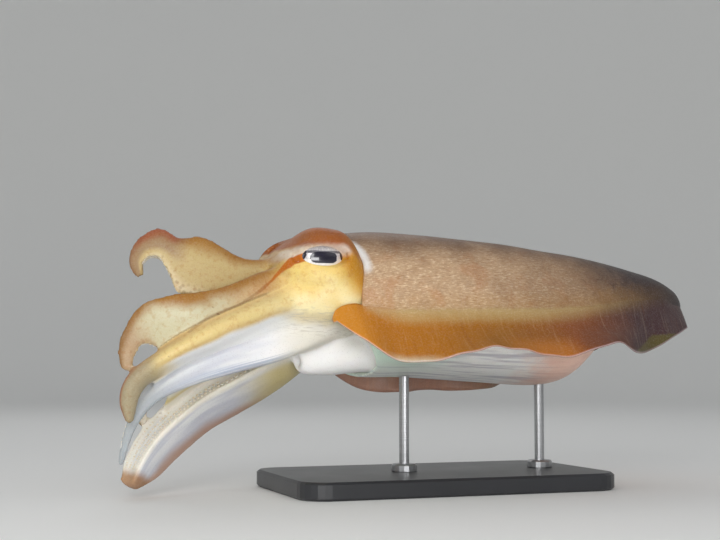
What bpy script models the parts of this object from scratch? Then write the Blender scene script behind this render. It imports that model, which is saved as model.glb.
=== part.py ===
# Common cuttlefish, a still, life-size museum model on a plain display stand.
# Metres, Z up. The arms reach to -X, the tail to +X, and the left side faces -Y.
# Row frame: the origin is the middle of the base's underside. The body is modelled
# in its own frame, level, and the posture empty lifts it and banks it.

import math

import bmesh
import bpy
from mathutils import Matrix, Vector
from mathutils.bvhtree import BVHTree

MM = 0.001
GAP = 0.3 * MM
# Gaps tried in turn where two nodes meet.
CLEARANCES = (GAP, 1.3 * GAP, 1.7 * GAP)

# Posture of the body over the base.
BODY_HEIGHT = 126 * MM
BODY_BANK = math.radians(-8.0)

# Mantle: stations along the body as (x, top, bottom, half width, height of the fin line).
MANTLE_STATIONS = (
    (-80, 50.0, -46.0, 45.5, -17.0),
    (-50, 52.5, -47.5, 55.0, -17.0),
    (-20, 51.0, -47.5, 59.5, -17.0),
    (40, 46.5, -51.5, 61.0, -16.0),
    (80, 42.0, -54.0, 57.5, -14.0),
    (97, 40.0, -50.5, 54.5, -12.0),
    (117, 37.0, -32.0, 49.0, -9.0),
    (132, 34.5, -24.0, 44.0, -6.0),
    (150, 31.0, -18.0, 37.5, -3.0),
    (175, 25.0, -11.0, 27.0, 2.0),
    (194, 17.0, -5.0, 15.0, 4.0),
    (201, 11.0, -1.0, 8.0, 4.0),
    (205, 6.0, 2.0, 2.0, 4.0),
)
MANTLE_ROUNDNESS = 0.88
MANTLE_TAIL_X = 205 * MM
MANTLE_SIDES = 30
MANTLE_RINGS = 16
# The front edge runs back from the tongue over the neck to the bay above the funnel.
EDGE_DORSAL_X = -80 * MM
EDGE_SIDE_X = -70 * MM
EDGE_VENTRAL_X = -51 * MM
MANTLE_WALL = 3.4 * MM
MANTLE_LIP = 1.5 * MM
POCKET_DEPTH = 15 * MM
POCKET_WALL = 8 * MM

# Fins: one long ribbon along each side, with a droop that waves along it.
FIN_FRONT_X = -92 * MM
FIN_LOBE_X = -46 * MM
FIN_REAR_X = 203 * MM
FIN_WIDTH = 36 * MM
FIN_TAIL_WIDTH = 20 * MM
FIN_ROOT_THICKNESS = 3.4 * MM
FIN_EDGE_THICKNESS = 1.2 * MM
FIN_SINK = 3 * MM
FIN_CELLS_ALONG = 11
FIN_CELLS_ACROSS = 3
FIN_TAPER_X = 120 * MM
FIN_LENGTHS = (
    ("front", FIN_FRONT_X, 8 * MM),
    ("middle", 8 * MM, 106 * MM),
    ("rear", 106 * MM, FIN_REAR_X),
)
# Steepness in degrees below level, as (x, at the root, at the edge).
FIN_DROOP = {
    "left": (
        (-92, 55, 50), (-46, 62, 64), (4, 60, 24), (30, 60, 34), (62, 62, 54),
        (100, 62, 24), (118, 60, 50), (146, 62, 100), (172, 60, 76), (203, 60, 64),
    ),
    "right": (
        (-92, 10, 5), (-54, 18, 14), (-24, 64, 94), (-6, 74, 104), (18, 70, 46),
        (62, 72, 96), (96, 55, 40), (130, 30, 10), (160, 30, 50), (203, 20, 10),
    ),
}
# The free lobe in front narrows towards this share of the fin's width.
FIN_LOBE_LINE = 0.08
FIN_BEND_STEPS = 8

# Head: stations as (x, top, bottom, half width).
HEAD_STATIONS = (
    (-64, 36.0, -22.0, 41.0),
    (-70, 38.5, -24.0, 47.0),
    (-76, 40.0, -26.0, 48.5),
    (-84, 41.5, -27.0, 48.5),
    (-96, 43.0, -28.0, 46.5),
    (-108, 42.0, -28.0, 43.5),
    (-118, 38.5, -26.0, 38.5),
    (-126, 29.0, -19.0, 27.0),
    (-131, 14.0, -6.0, 10.0),
)
HEAD_ROUNDNESS = 0.9
HEAD_REAR_X = -66 * MM
HEAD_FRONT_X = -131 * MM
HEAD_SIDES = 28
HEAD_RINGS = 11
NECK_SIDES = 20
NECK_STATIONS = (
    (-65.7, 36.5, -21.0, 39.0),
    (-60, 42.0, -26.0, 44.0),
    (-54, 46.0, -35.0, 48.0),
    (-48, 49.0, -47.0, 55.0),
    (-36, 49.0, -47.0, 55.0),
)

# Eyes and lids.
EYE_CENTRE = (-95.0 * MM, 39.0 * MM, 25.5 * MM)
EYE_RADIUS = 15.5 * MM
EYE_SHAPE = (1.0, 0.62, 0.8)
BALL_SEGMENTS = 16
BALL_RINGS = 9
ORBIT_X = -88.5 * MM
ORBIT_HEIGHT = 13.5 * MM
ORBIT_LENGTH = 20 * MM
ORBIT_TURN = math.radians(54)
ORBIT_SPREAD = math.radians(29)
OPENING_LENGTH = 14.5 * MM
OPENING_HEIGHT = 7.2 * MM
OPENING_SHAPE = (1.0, 0.5, OPENING_HEIGHT / OPENING_LENGTH)
LID_RADIUS = 2.1 * MM
LID_LIFT = 0.4 * MM
LID_SPANS = 9
LID_SIDES = 6

# Funnel under the head.
FUNNEL_REAR = (-46 * MM, -2 * MM, -31 * MM)
FUNNEL_MOUTH = (-106 * MM, -8 * MM, -38.5 * MM)
FUNNEL_RADII = (14.0, 13.2, 12.4, 12.0, 11.2, 9.6, 8.4)
FUNNEL_BORE_DEPTH = 12 * MM
FUNNEL_WALL = 2.2 * MM
FUNNEL_SIDES = 18

# Mouth in the middle of the arm crown.
MOUTH_CENTRE = (-131 * MM, 0.0, -4 * MM)
MOUTH_TILT = math.radians(18)
# Profiles as (radius, height) in millimetres: the lips as two soft rings, the beak a blunt cone.
LIP_PROFILE = (
    (0.0, -6.0), (2.8, -6.0), (3.2, 0.8), (4.8, 2.8), (6.8, 2.2),
    (7.8, -0.3), (9.8, 0.6), (11.2, -2.2), (11.0, -12.0), (0.0, -12.0),
)
BEAK_PROFILE = ((0.0, 0.8), (1.6, -1.6), (2.7, -5.7), (0.0, -5.7))
LIP_SIDES = 14
BEAK_SIDES = 8

# Arms. Each core path runs close behind the suckers, from the head to the tip, and
# keel, oral and breadth are reaches in millimetres at shares of the arm's length:
# from the core out to the keel, in to the sucker face, and across.
# face is the direction of the sucker side at the root, as (y, z).
ARMS = {
    "left_1": {
        "path": (
            (-92, -10, 29), (-106, -12, 28), (-125, -15, 22), (-146, -19, 19), (-167, -21, 23),
            (-183, -20, 29), (-196, -17, 36), (-207, -14, 35), (-213, -12, 27), (-211, -12, 17),
        ),
        "face": (0.15, -1.0),
        "keel": (
            (0.0, 8), (0.2, 8), (0.36, 13), (0.5, 21), (0.6, 17), (0.65, 14), (0.72, 14),
            (0.82, 6.5), (1.0, 3),
        ),
        "oral": (
            (0.0, 7), (0.2, 8), (0.36, 14), (0.5, 19), (0.6, 17), (0.72, 9), (0.82, 5.5),
            (1.0, 2.2),
        ),
        "breadth": ((0.0, 15), (0.4, 13), (0.75, 10), (1.0, 3.5)),
        "splits": (0.4, 0.7),
    },
    "left_2": {
        "path": (
            (-88, -17, 24), (-103, -21, 19), (-131, -29, 7), (-155, -34, -6), (-177, -36, -14),
            (-195, -34, -17), (-208, -31, -18), (-217, -28, -25), (-221, -26, -35),
            (-222, -25, -46),
        ),
        "face": (0.25, -1.0),
        "keel": (
            (0.0, 9), (0.3, 12), (0.5, 15), (0.68, 18), (0.77, 16), (0.86, 9), (0.93, 5), (1.0, 3),
        ),
        "oral": ((0.0, 7), (0.4, 7), (0.55, 10), (0.66, 14), (0.76, 12), (0.84, 7), (1.0, 2.2)),
        "breadth": ((0.0, 17), (0.4, 16), (0.75, 13), (1.0, 4)),
        "splits": (0.4, 0.74),
    },
    "left_3": {
        "path": (
            (-84, -22, 6), (-99, -27, 1), (-136, -35, -11), (-164, -40, -23), (-187, -40, -34),
            (-206, -36, -43), (-219, -31, -51), (-223, -28, -62), (-222, -26, -77),
        ),
        "face": (1.0, -0.1),
        "keel": ((0.0, 7), (0.15, 9), (0.3, 11), (0.6, 10), (0.8, 8), (1.0, 3)),
        "oral": ((0.0, 8), (0.5, 7), (0.8, 6), (1.0, 2.2)),
        "breadth": ((0.0, 17), (0.2, 20), (0.5, 18), (0.75, 13), (1.0, 4)),
        "splits": (0.4, 0.74),
    },
    "left_4": {
        "path": (
            (-74, -15, -13), (-89, -18, -18), (-125, -23, -29), (-156, -25, -36), (-180, -23, -43),
            (-197, -20, -53), (-208, -17, -66), (-215, -15, -82), (-220, -13, -96),
            (-223, -12, -103),
        ),
        "face": (0.75, 0.66),
        "keel": ((0.0, 10), (0.2, 14), (0.45, 15), (0.62, 12), (0.8, 6), (1.0, 2.5)),
        "oral": ((0.0, 8), (0.5, 8), (0.8, 5), (1.0, 2)),
        "breadth": ((0.0, 18), (0.3, 18), (0.6, 15), (0.8, 8), (1.0, 3)),
        "splits": (0.4, 0.72),
    },
    "right_4": {
        "path": (
            (-74, 13, -17), (-90, 14, -25), (-119, 17, -42), (-144, 20, -55), (-165, 21, -65),
            (-182, 20, -77), (-196, 18, -90), (-207, 15, -104), (-214, 13, -113),
        ),
        "face": (-0.25, 1.0),
        "keel": ((0.0, 8), (0.25, 14), (0.5, 18), (0.75, 21), (0.87, 18), (0.95, 12), (1.0, 7)),
        "oral": ((0.0, 8), (0.15, 12), (0.4, 12), (0.6, 9), (0.85, 8), (1.0, 4)),
        "breadth": ((0.0, 17), (0.4, 17), (0.8, 13), (1.0, 6)),
        "splits": (0.4, 0.72),
    },
    "right_1": {
        "path": (
            (-92, 9, 30), (-104, 10, 31), (-126, 14, 25), (-148, 18, 16), (-166, 20, 6),
            (-182, 20, -5), (-194, 17, -17), (-197, 12, -29), (-190, 8, -37),
        ),
        "face": (-0.15, -1.0),
        "keel": ((0.0, 9), (0.3, 10), (0.5, 14), (0.7, 11), (0.85, 7), (1.0, 3)),
        "oral": ((0.0, 6), (0.5, 6), (0.8, 5), (1.0, 2.2)),
        "breadth": ((0.0, 15), (0.4, 13), (0.75, 10), (1.0, 3.5)),
        "splits": (0.4, 0.72),
    },
    "right_2": {
        "path": (
            (-88, 18, 26), (-102, 22, 22), (-130, 29, 7), (-154, 33, -8), (-174, 33, -23),
            (-189, 29, -36), (-194, 24, -48), (-189, 20, -57),
        ),
        "face": (-0.75, -0.66),
        "keel": ((0.0, 10), (0.3, 12), (0.5, 13), (0.75, 10), (0.9, 6), (1.0, 3)),
        "oral": ((0.0, 7), (0.5, 8), (0.8, 6), (1.0, 2.2)),
        "breadth": ((0.0, 17), (0.4, 15), (0.75, 12), (1.0, 4)),
        "splits": (0.4, 0.72),
    },
    "right_3": {
        "path": (
            (-84, 22, 5), (-98, 26, 0), (-129, 34, -15), (-155, 37, -30), (-177, 35, -43),
            (-193, 31, -53), (-203, 27, -64), (-204, 24, -74), (-199, 23, -79),
        ),
        "face": (-1.0, 0.1),
        "keel": ((0.0, 11), (0.3, 11), (0.6, 9), (0.8, 7), (1.0, 3)),
        "oral": ((0.0, 8), (0.5, 7), (0.8, 6), (1.0, 2.2)),
        "breadth": ((0.0, 20), (0.25, 19), (0.5, 16), (0.75, 12), (1.0, 4)),
        "splits": (0.4, 0.72),
    },
}
ARM_LENGTHS = (("root", 4), ("middle", 5), ("tip", 7))
PATH_STEPS = 30
PATH_SAMPLES = 240
TIP_LENGTH = 1.5 * MM
# Half of an arm's section, as shares of (oral reach or keel reach, half breadth): the sucker
# face's middle line, the thin membrane beside it, the flank, and the keel at the back.
ORAL_OUTLINE = ((0.74, 0.0), (1.12, 0.98), (0.50, 1.06))
KEEL_OUTLINE = ((0.12, 0.98), (0.42, 0.64), (0.76, 0.30), (1.0, 0.0))

# Suckers: small cups in two staggered rows, from near the root to the tip.
SUCKERS_PER_ARM = 22
SUCKER_FIRST = 0.09
SUCKER_LAST = 0.965
SUCKER_RADII = (1.6 * MM, 0.55 * MM)
SUCKER_ROW = 0.38
SUCKER_SIDES = 6
SUCKER_CLEARANCE = 0.6 * MM

# Display stand.
BASE_SIZE = (230 * MM, 130 * MM, 12 * MM)
BASE_CORNER = 18 * MM
BASE_CORNER_STEPS = 6
BASE_BEVEL = 1.6 * MM
ROD_RADIUS = 3.5 * MM
ROD_COLLAR_RADIUS = 9 * MM
ROD_COLLAR_HEIGHT = 5 * MM
ROD_COLLAR_BEVEL = 1 * MM
ROD_SIDES = 16
ROD_PLACES = {"front": -22 * MM, "rear": 84 * MM}
ROD_TOP = 92 * MM

# Finishes as (red, green, blue), roughness, metallic.
FINISHES = {
    "mantle_skin": ((0.55, 0.37, 0.20), 0.55, 0.0),
    "fin_skin": ((0.52, 0.26, 0.05), 0.5, 0.0),
    "head_skin": ((0.78, 0.56, 0.18), 0.5, 0.0),
    "arm_skin": ((0.80, 0.62, 0.30), 0.5, 0.0),
    "ventral_arm_skin": ((0.82, 0.80, 0.76), 0.5, 0.0),
    "pale_skin": ((0.86, 0.84, 0.80), 0.5, 0.0),
    "eye_glass": ((0.05, 0.05, 0.06), 0.15, 0.0),
    "beak_horn": ((0.05, 0.03, 0.02), 0.35, 0.0),
    "stand_base_lacquer": ((0.06, 0.06, 0.065), 0.45, 0.0),
    "stand_rod_steel": ((0.62, 0.62, 0.63), 0.3, 1.0),
}


def clear_scene():
    for thing in list(bpy.data.objects):
        bpy.data.objects.remove(thing, do_unlink=True)


def new_collection(name):
    collection = bpy.data.collections.new(name)
    bpy.context.scene.collection.children.link(collection)
    return collection


def new_object(name, mesh, collection):
    thing = bpy.data.objects.new(name, mesh)
    collection.objects.link(thing)
    return thing


def finish(name):
    material = bpy.data.materials.get(name)
    if material is None:
        colour, roughness, metallic = FINISHES[name]
        material = bpy.data.materials.new(name)
        material.use_nodes = True
        shader = material.node_tree.nodes["Principled BSDF"]
        shader.inputs["Base Color"].default_value = (*colour, 1.0)
        shader.inputs["Roughness"].default_value = roughness
        shader.inputs["Metallic"].default_value = metallic
        material.diffuse_color = (*colour, 1.0)
    return material


def through(stations, at, column=1):
    """Smooth curve through one column of a station table, at a place in its first column."""
    first, last = stations[0], stations[-1]
    if (at - first[0]) * (last[0] - first[0]) <= 0:
        return first[column]
    if (at - last[0]) * (last[0] - first[0]) >= 0:
        return last[column]
    count = len(stations)
    index = 0
    while (at - stations[index + 1][0]) * (last[0] - first[0]) > 0:
        index += 1

    def slope(k):
        low, high = max(k - 1, 0), min(k + 1, count - 1)
        return (stations[high][column] - stations[low][column]) / (stations[high][0] - stations[low][0])

    here, there = stations[index], stations[index + 1]
    span = there[0] - here[0]
    t = (at - here[0]) / span
    return (
        (2 * t**3 - 3 * t**2 + 1) * here[column]
        + (t**3 - 2 * t**2 + t) * span * slope(index)
        + (3 * t**2 - 2 * t**3) * there[column]
        + (t**3 - t**2) * span * slope(index + 1)
    )


def oval(angle, half_width, top, bottom, middle, roundness):
    """Point of an egg-shaped section, as (y, z). Angle 0 is the left side and a quarter turn the back."""
    c, s = math.cos(angle), math.sin(angle)
    y = -half_width * math.copysign(abs(c) ** roundness, c)
    reach = top - middle if s > 0 else middle - bottom
    return y, middle + reach * math.copysign(abs(s) ** roundness, s)


def circle(middle, side, lift, radius, count):
    """Ring of points round a middle, in the plane of two unit vectors."""
    turns = [2 * math.pi * k / count for k in range(count)]
    return [middle + side * (radius * math.cos(t)) + lift * (radius * math.sin(t)) for t in turns]


def loft(name, rings, collection, start=None, end=None):
    """Closed skin over rings of points, with a point or a flat cap at each end."""
    mesh = bpy.data.meshes.new(name)
    form = bmesh.new()
    rows = [[form.verts.new(point) for point in ring] for ring in rings]
    count = len(rows[0])
    for low, high in zip(rows, rows[1:]):
        for k in range(count):
            nxt = (k + 1) % count
            form.faces.new((low[k], low[nxt], high[nxt], high[k]))
    for row, point, backwards in ((rows[0], start, True), (rows[-1], end, False)):
        if point is None:
            form.faces.new(reversed(row) if backwards else row)
            continue
        pole = form.verts.new(point)
        for k in range(count):
            nxt = (k + 1) % count
            form.faces.new((row[nxt], row[k], pole) if backwards else (row[k], row[nxt], pole))
    bmesh.ops.recalc_face_normals(form, faces=form.faces)
    bmesh.ops.triangulate(form, faces=form.faces)
    form.to_mesh(mesh)
    form.free()
    return new_object(name, mesh, collection)


def tidy_mesh(thing):
    """Keep the largest closed surface of a mesh, as clean triangles."""
    form = bmesh.new()
    form.from_mesh(thing.data)
    bmesh.ops.remove_doubles(form, verts=form.verts, dist=1e-6)
    bmesh.ops.triangulate(form, faces=form.faces)
    bmesh.ops.dissolve_degenerate(form, edges=form.edges, dist=2e-6)
    bmesh.ops.triangulate(form, faces=form.faces)
    unseen = set(form.faces)
    pieces = []
    while unseen:
        piece, front = set(), [unseen.pop()]
        while front:
            face = front.pop()
            piece.add(face)
            for edge in face.edges:
                for other in edge.link_faces:
                    if other in unseen:
                        unseen.discard(other)
                        front.append(other)
        pieces.append(piece)

    def volume(piece):
        total = 0.0
        for face in piece:
            a, b, c = (vert.co for vert in face.verts)
            total += a.dot(b.cross(c)) / 6.0
        return total

    pieces.sort(key=volume)
    scraps = [face for piece in pieces[:-1] for face in piece]
    bmesh.ops.delete(form, geom=scraps, context="FACES")
    form.to_mesh(thing.data)
    form.free()
    thing.data.update()


def apply_modifiers(thing):
    bpy.context.view_layer.update()
    graph = bpy.context.evaluated_depsgraph_get()
    mesh = bpy.data.meshes.new_from_object(thing.evaluated_get(graph))
    thing.modifiers.clear()
    old = thing.data
    thing.data = mesh
    bpy.data.meshes.remove(old)


def grown_copy(source, distance, cutters):
    """Copy of a closed mesh with its surface moved outwards, used as a cutter."""
    form = bmesh.new()
    form.from_mesh(source.data)
    form.normal_update()
    moves = [vert.normal * (distance * min(vert.calc_shell_factor(), 1.6)) for vert in form.verts]
    for vert, move in zip(form.verts, moves):
        vert.co += move
    mesh = bpy.data.meshes.new(source.name + "_clearance")
    form.to_mesh(mesh)
    form.free()
    cutter = new_object(mesh.name, mesh, cutters)
    cutter.hide_render = True
    cutter.display_type = "WIRE"
    return cutter


def surface_tree(thing):
    form = bmesh.new()
    form.from_mesh(thing.data)
    tree = BVHTree.FromBMesh(form)
    form.free()
    return tree


def is_closed(thing):
    form = bmesh.new()
    form.from_mesh(thing.data)
    closed = all(len(edge.link_faces) == 2 for edge in form.edges)
    form.free()
    return closed


def cut(target, cutter):
    """Cut a node with a closed mesh. Says whether the node is still one closed surface."""
    whole = target.data.copy()
    for solver in ("EXACT", "MANIFOLD"):
        modifier = target.modifiers.new("cut", "BOOLEAN")
        modifier.operation = "DIFFERENCE"
        modifier.solver = solver
        modifier.object = cutter
        apply_modifiers(target)
        tidy_mesh(target)
        if is_closed(target):
            return True
        target.data = whole.copy()
    return False


def fuse(target, pieces):
    """Join a collection of closed pieces to a node by one union, and remove the pieces."""
    whole = target.data.copy()
    for solver in ("EXACT", "MANIFOLD"):
        modifier = target.modifiers.new("fuse", "BOOLEAN")
        modifier.operation = "UNION"
        modifier.solver = solver
        modifier.operand_type = "COLLECTION"
        modifier.collection = pieces
        apply_modifiers(target)
        tidy_mesh(target)
        if is_closed(target):
            break
        target.data = whole.copy()
    for piece in list(pieces.objects):
        bpy.data.objects.remove(piece, do_unlink=True)


def keep_clear(target, neighbours, cutters):
    """Cut a node back from the neighbours that it meets, leaving the gap between them."""
    for neighbour in neighbours:
        for gap in CLEARANCES:
            cutter = grown_copy(neighbour, gap, cutters)
            meets = surface_tree(target).overlap(surface_tree(cutter))
            clear = not meets or cut(target, cutter)
            bpy.data.objects.remove(cutter, do_unlink=True)
            if clear:
                break


# Mantle


def mantle_point(x, angle):
    top, bottom, half_width, middle = (through(MANTLE_STATIONS, x / MM, k) * MM for k in (1, 2, 3, 4))
    y, z = oval(angle, half_width, top, bottom, middle, MANTLE_ROUNDNESS)
    return Vector((x, y, z))


def mantle_edge(angle):
    s = math.sin(angle)
    if s > 0:
        return EDGE_SIDE_X + (EDGE_DORSAL_X - EDGE_SIDE_X) * s**3
    return EDGE_SIDE_X + (EDGE_VENTRAL_X - EDGE_SIDE_X) * s**2


def inward(point, distance):
    """Move a point of the mantle's edge towards the body's axis."""
    axis = Vector((point.x, 0.0, 0.0))
    return point + (axis - point).normalized() * distance


def make_mantle(collection):
    angles = [2 * math.pi * k / MANTLE_SIDES for k in range(MANTLE_SIDES)]
    pocket, rim, mouth = [], [], []
    for angle in angles:
        edge = mantle_edge(angle)
        floor = mantle_point(edge + POCKET_DEPTH, angle)
        pocket.append(inward(floor, POCKET_WALL))
        rim.append(inward(mantle_point(edge + MANTLE_LIP, angle), MANTLE_WALL))
        mouth.append(inward(mantle_point(edge, angle), MANTLE_LIP))
    rings = [pocket, rim, mouth]
    # Rings draw together towards the tail.
    for k in range(MANTLE_RINGS):
        share = math.sin(0.5 * math.pi * (k + 0.1) / MANTLE_RINGS) ** 1.15
        ring = []
        for angle in angles:
            edge = mantle_edge(angle)
            ring.append(mantle_point(edge + (MANTLE_TAIL_X - edge) * share, angle))
        rings.append(ring)
    start = (EDGE_SIDE_X + POCKET_DEPTH, 0.0, 0.0)
    end = (MANTLE_TAIL_X, 0.0, MANTLE_STATIONS[-1][4] * MM)
    return loft("mantle", rings, collection, start, end)


# Fins


def fin_point(side, x, across):
    """Point of the fin's middle surface, from the root at 0 to the edge at 1."""
    sign = -1 if side == "left" else 1
    at_root = max(x, EDGE_SIDE_X)
    half_width = through(MANTLE_STATIONS, at_root / MM, 3) * MM
    height = through(MANTLE_STATIONS, at_root / MM, 4) * MM
    tail = min(max((x - FIN_TAPER_X) / (FIN_REAR_X - FIN_TAPER_X), 0.0), 1.0)
    width = FIN_WIDTH + (FIN_TAIL_WIDTH - FIN_WIDTH) * tail**2
    root_angle, edge_angle = (math.radians(through(FIN_DROOP[side], x / MM, k)) for k in (1, 2))
    lobe = 1.0
    if x < FIN_LOBE_X:
        ahead = (x - FIN_LOBE_X) / (FIN_FRONT_X - FIN_LOBE_X)
        lobe = max(1.0 - ahead**2, 0.02) ** 0.6
    share = FIN_LOBE_LINE + (across - FIN_LOBE_LINE) * lobe
    y, z = max(half_width - FIN_SINK, 1.5 * MM), height
    step = width * share / FIN_BEND_STEPS
    for k in range(FIN_BEND_STEPS):
        angle = root_angle + (edge_angle - root_angle) * share * (k + 0.5) / FIN_BEND_STEPS
        y += math.cos(angle) * step
        z -= math.sin(angle) * step
    return Vector((x, sign * y, z))


def make_fin(side, length, start, end, collection):
    """One length of a fin: a tapered sheet, split into triangles alike on both faces."""
    name = f"fin_{side}_{length}"
    start = start + (0.5 * GAP if length != "front" else 0.0)
    end = end - (0.5 * GAP if length != "rear" else 0.0)
    form = bmesh.new()
    shares = [j / FIN_CELLS_ACROSS for j in range(FIN_CELLS_ACROSS + 1)]
    rows = []
    for i in range(FIN_CELLS_ALONG + 1):
        x = start + (end - start) * i / FIN_CELLS_ALONG
        rows.append([form.verts.new(fin_point(side, x, share)) for share in shares])
    for i in range(FIN_CELLS_ALONG):
        for j in range(FIN_CELLS_ACROSS):
            a, b = rows[i][j], rows[i + 1][j]
            c, d = rows[i + 1][j + 1], rows[i][j + 1]
            form.faces.new((a, b, c) if side == "right" else (a, c, b))
            form.faces.new((a, c, d) if side == "right" else (a, d, c))
    mesh = bpy.data.meshes.new(name)
    form.to_mesh(mesh)
    form.free()
    fin = new_object(name, mesh, collection)
    group = fin.vertex_groups.new(name="taper")
    for i in range(FIN_CELLS_ALONG + 1):
        for j, share in enumerate(shares):
            group.add([i * len(shares) + j], 1.0 - share, "REPLACE")
    solid = fin.modifiers.new("thickness", "SOLIDIFY")
    solid.thickness = FIN_ROOT_THICKNESS
    solid.offset = 0.0
    solid.vertex_group = "taper"
    solid.thickness_vertex_group = FIN_EDGE_THICKNESS / FIN_ROOT_THICKNESS
    apply_modifiers(fin)
    fin.vertex_groups.clear()
    return fin


# Head, neck and eyes


def head_point(x, angle):
    top, bottom, half_width = (through(HEAD_STATIONS, x / MM, k) * MM for k in (1, 2, 3))
    middle = 0.5 * (top + bottom)
    y, z = oval(angle, half_width, top, bottom, middle, HEAD_ROUNDNESS)
    radial = Vector((0.0, y, z - middle))
    along = (x - ORBIT_X) / ORBIT_LENGTH
    for target in (ORBIT_TURN, math.pi - ORBIT_TURN):
        turn = math.atan2(math.sin(angle - target), math.cos(angle - target)) / ORBIT_SPREAD
        radial += radial.normalized() * ORBIT_HEIGHT * math.exp(-(along**4) - turn**2)
    return Vector((x, radial.y, middle + radial.z))


def make_head(collection):
    angles = [2 * math.pi * k / HEAD_SIDES for k in range(HEAD_SIDES)]
    rings = []
    for k in range(HEAD_RINGS):
        share = math.sin(0.5 * math.pi * k / HEAD_RINGS)
        x = HEAD_REAR_X + (HEAD_FRONT_X - HEAD_REAR_X) * share
        rings.append([head_point(x, angle) for angle in angles])
    return loft("head", rings, collection, None, (HEAD_FRONT_X, 0.0, 4 * MM))


def make_neck(collection):
    angles = [2 * math.pi * k / NECK_SIDES for k in range(NECK_SIDES)]
    rings = []
    for x, top, bottom, half_width in NECK_STATIONS:
        middle = 0.5 * (top + bottom)
        ring = []
        for angle in angles:
            y, z = oval(angle, half_width, top, bottom, middle, HEAD_ROUNDNESS)
            ring.append(Vector((x, y, z)) * MM)
        rings.append(ring)
    return loft("neck", rings, collection)


def make_ball(name, centre, radius, collection, squash=(1.0, 1.0, 1.0)):
    """Ball or lens with its poles at the front and the back, so that its sides face the lids."""
    mesh = bpy.data.meshes.new(name)
    form = bmesh.new()
    bmesh.ops.create_uvsphere(form, u_segments=BALL_SEGMENTS, v_segments=BALL_RINGS, radius=radius)
    bmesh.ops.rotate(form, verts=form.verts, matrix=Matrix.Rotation(math.radians(90), 3, "Y"))
    bmesh.ops.scale(form, vec=squash, verts=form.verts)
    bmesh.ops.translate(form, vec=centre, verts=form.verts)
    form.to_mesh(mesh)
    form.free()
    return new_object(name, mesh, collection)


def make_lid(name, centre, sign, upper, skin, collection):
    """A soft ridge over or under the eye's opening, thickest in its middle."""
    up = 1.0 if upper else -1.0
    length, height = (size + 0.5 * LID_RADIUS for size in (OPENING_LENGTH, OPENING_HEIGHT))
    rings = []
    for k in range(LID_SPANS + 1):
        turn = math.pi * (0.03 + 0.94 * k / LID_SPANS)
        x = centre.x - length * math.cos(turn)
        z = centre.z + up * height * math.sin(turn)
        point, normal, _, _ = skin.ray_cast(Vector((x, sign * 0.2, z)), Vector((0.0, -sign, 0.0)))
        heading = Vector((length * math.sin(turn), 0.0, up * height * math.cos(turn)))
        heading = (heading - normal * heading.dot(normal)).normalized()
        radius = LID_RADIUS * (0.35 + 0.65 * math.sin(turn))
        middle = point + normal * (LID_LIFT - 0.3 * radius)
        rings.append(circle(middle, heading.cross(normal), normal, radius, LID_SIDES))
    return loft(name, rings, collection)


def make_eye(side, head, collection, cutters):
    """An eyeball in its socket, seen through the long opening between the lids."""
    sign = -1 if side == "left" else 1
    centre = Vector((EYE_CENTRE[0], sign * EYE_CENTRE[1], EYE_CENTRE[2]))
    eye = make_ball(f"eye_{side}", centre, EYE_RADIUS, collection, EYE_SHAPE)
    lids = new_collection(f"lids_{side}")
    skin = surface_tree(head)
    for name, upper in (("upper", True), ("lower", False)):
        make_lid(f"lid_{name}", centre, sign, upper, skin, lids)
    fuse(head, lids)
    outside = centre + Vector((0.0, sign * EYE_RADIUS * EYE_SHAPE[1], 0.0))
    opening = make_ball("lid_opening", outside, OPENING_LENGTH, cutters, OPENING_SHAPE)
    cut(head, opening)
    bpy.data.objects.remove(opening, do_unlink=True)
    keep_clear(head, [eye], cutters)
    return eye


# Funnel and mouth


def make_funnel(collection):
    rear, mouth = Vector(FUNNEL_REAR), Vector(FUNNEL_MOUTH)
    axis = (mouth - rear).normalized()
    side = axis.cross(Vector((0.0, 0.0, 1.0))).normalized()
    lift = side.cross(axis)
    last = len(FUNNEL_RADII) - 1
    places = [(rear.lerp(mouth, k / last), radius * MM) for k, radius in enumerate(FUNNEL_RADII)]
    lip = FUNNEL_RADII[-1] * MM - FUNNEL_WALL
    floor = mouth - axis * FUNNEL_BORE_DEPTH
    places += [(mouth, lip), (floor, lip - 0.4 * FUNNEL_WALL)]
    rings = [circle(middle, side, lift, radius, FUNNEL_SIDES) for middle, radius in places]
    return loft("funnel", rings, collection, None, floor - axis * FUNNEL_WALL)


def turned(name, profile, sides, collection):
    """Closed solid turned from a profile of (radius, height) points about the X axis, facing -X."""
    across, up = Vector((0.0, 1.0, 0.0)), Vector((0.0, 0.0, 1.0))
    middles = [Vector((-height * MM, 0.0, 0.0)) for _, height in profile]
    rings = []
    for (radius, _), middle in list(zip(profile, middles))[1:-1]:
        rings.append(circle(middle, across, up, radius * MM, sides))
    return loft(name, rings, collection, middles[0], middles[-1])


def place_in_crown(thing):
    """Set a turned piece in the middle of the arm crown."""
    for vert in thing.data.vertices:
        x, y, z = vert.co
        c, s = math.cos(MOUTH_TILT), math.sin(MOUTH_TILT)
        vert.co = Vector((c * x - s * z, y, s * x + c * z)) + Vector(MOUTH_CENTRE)
    thing.data.update()


# Arms


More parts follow.
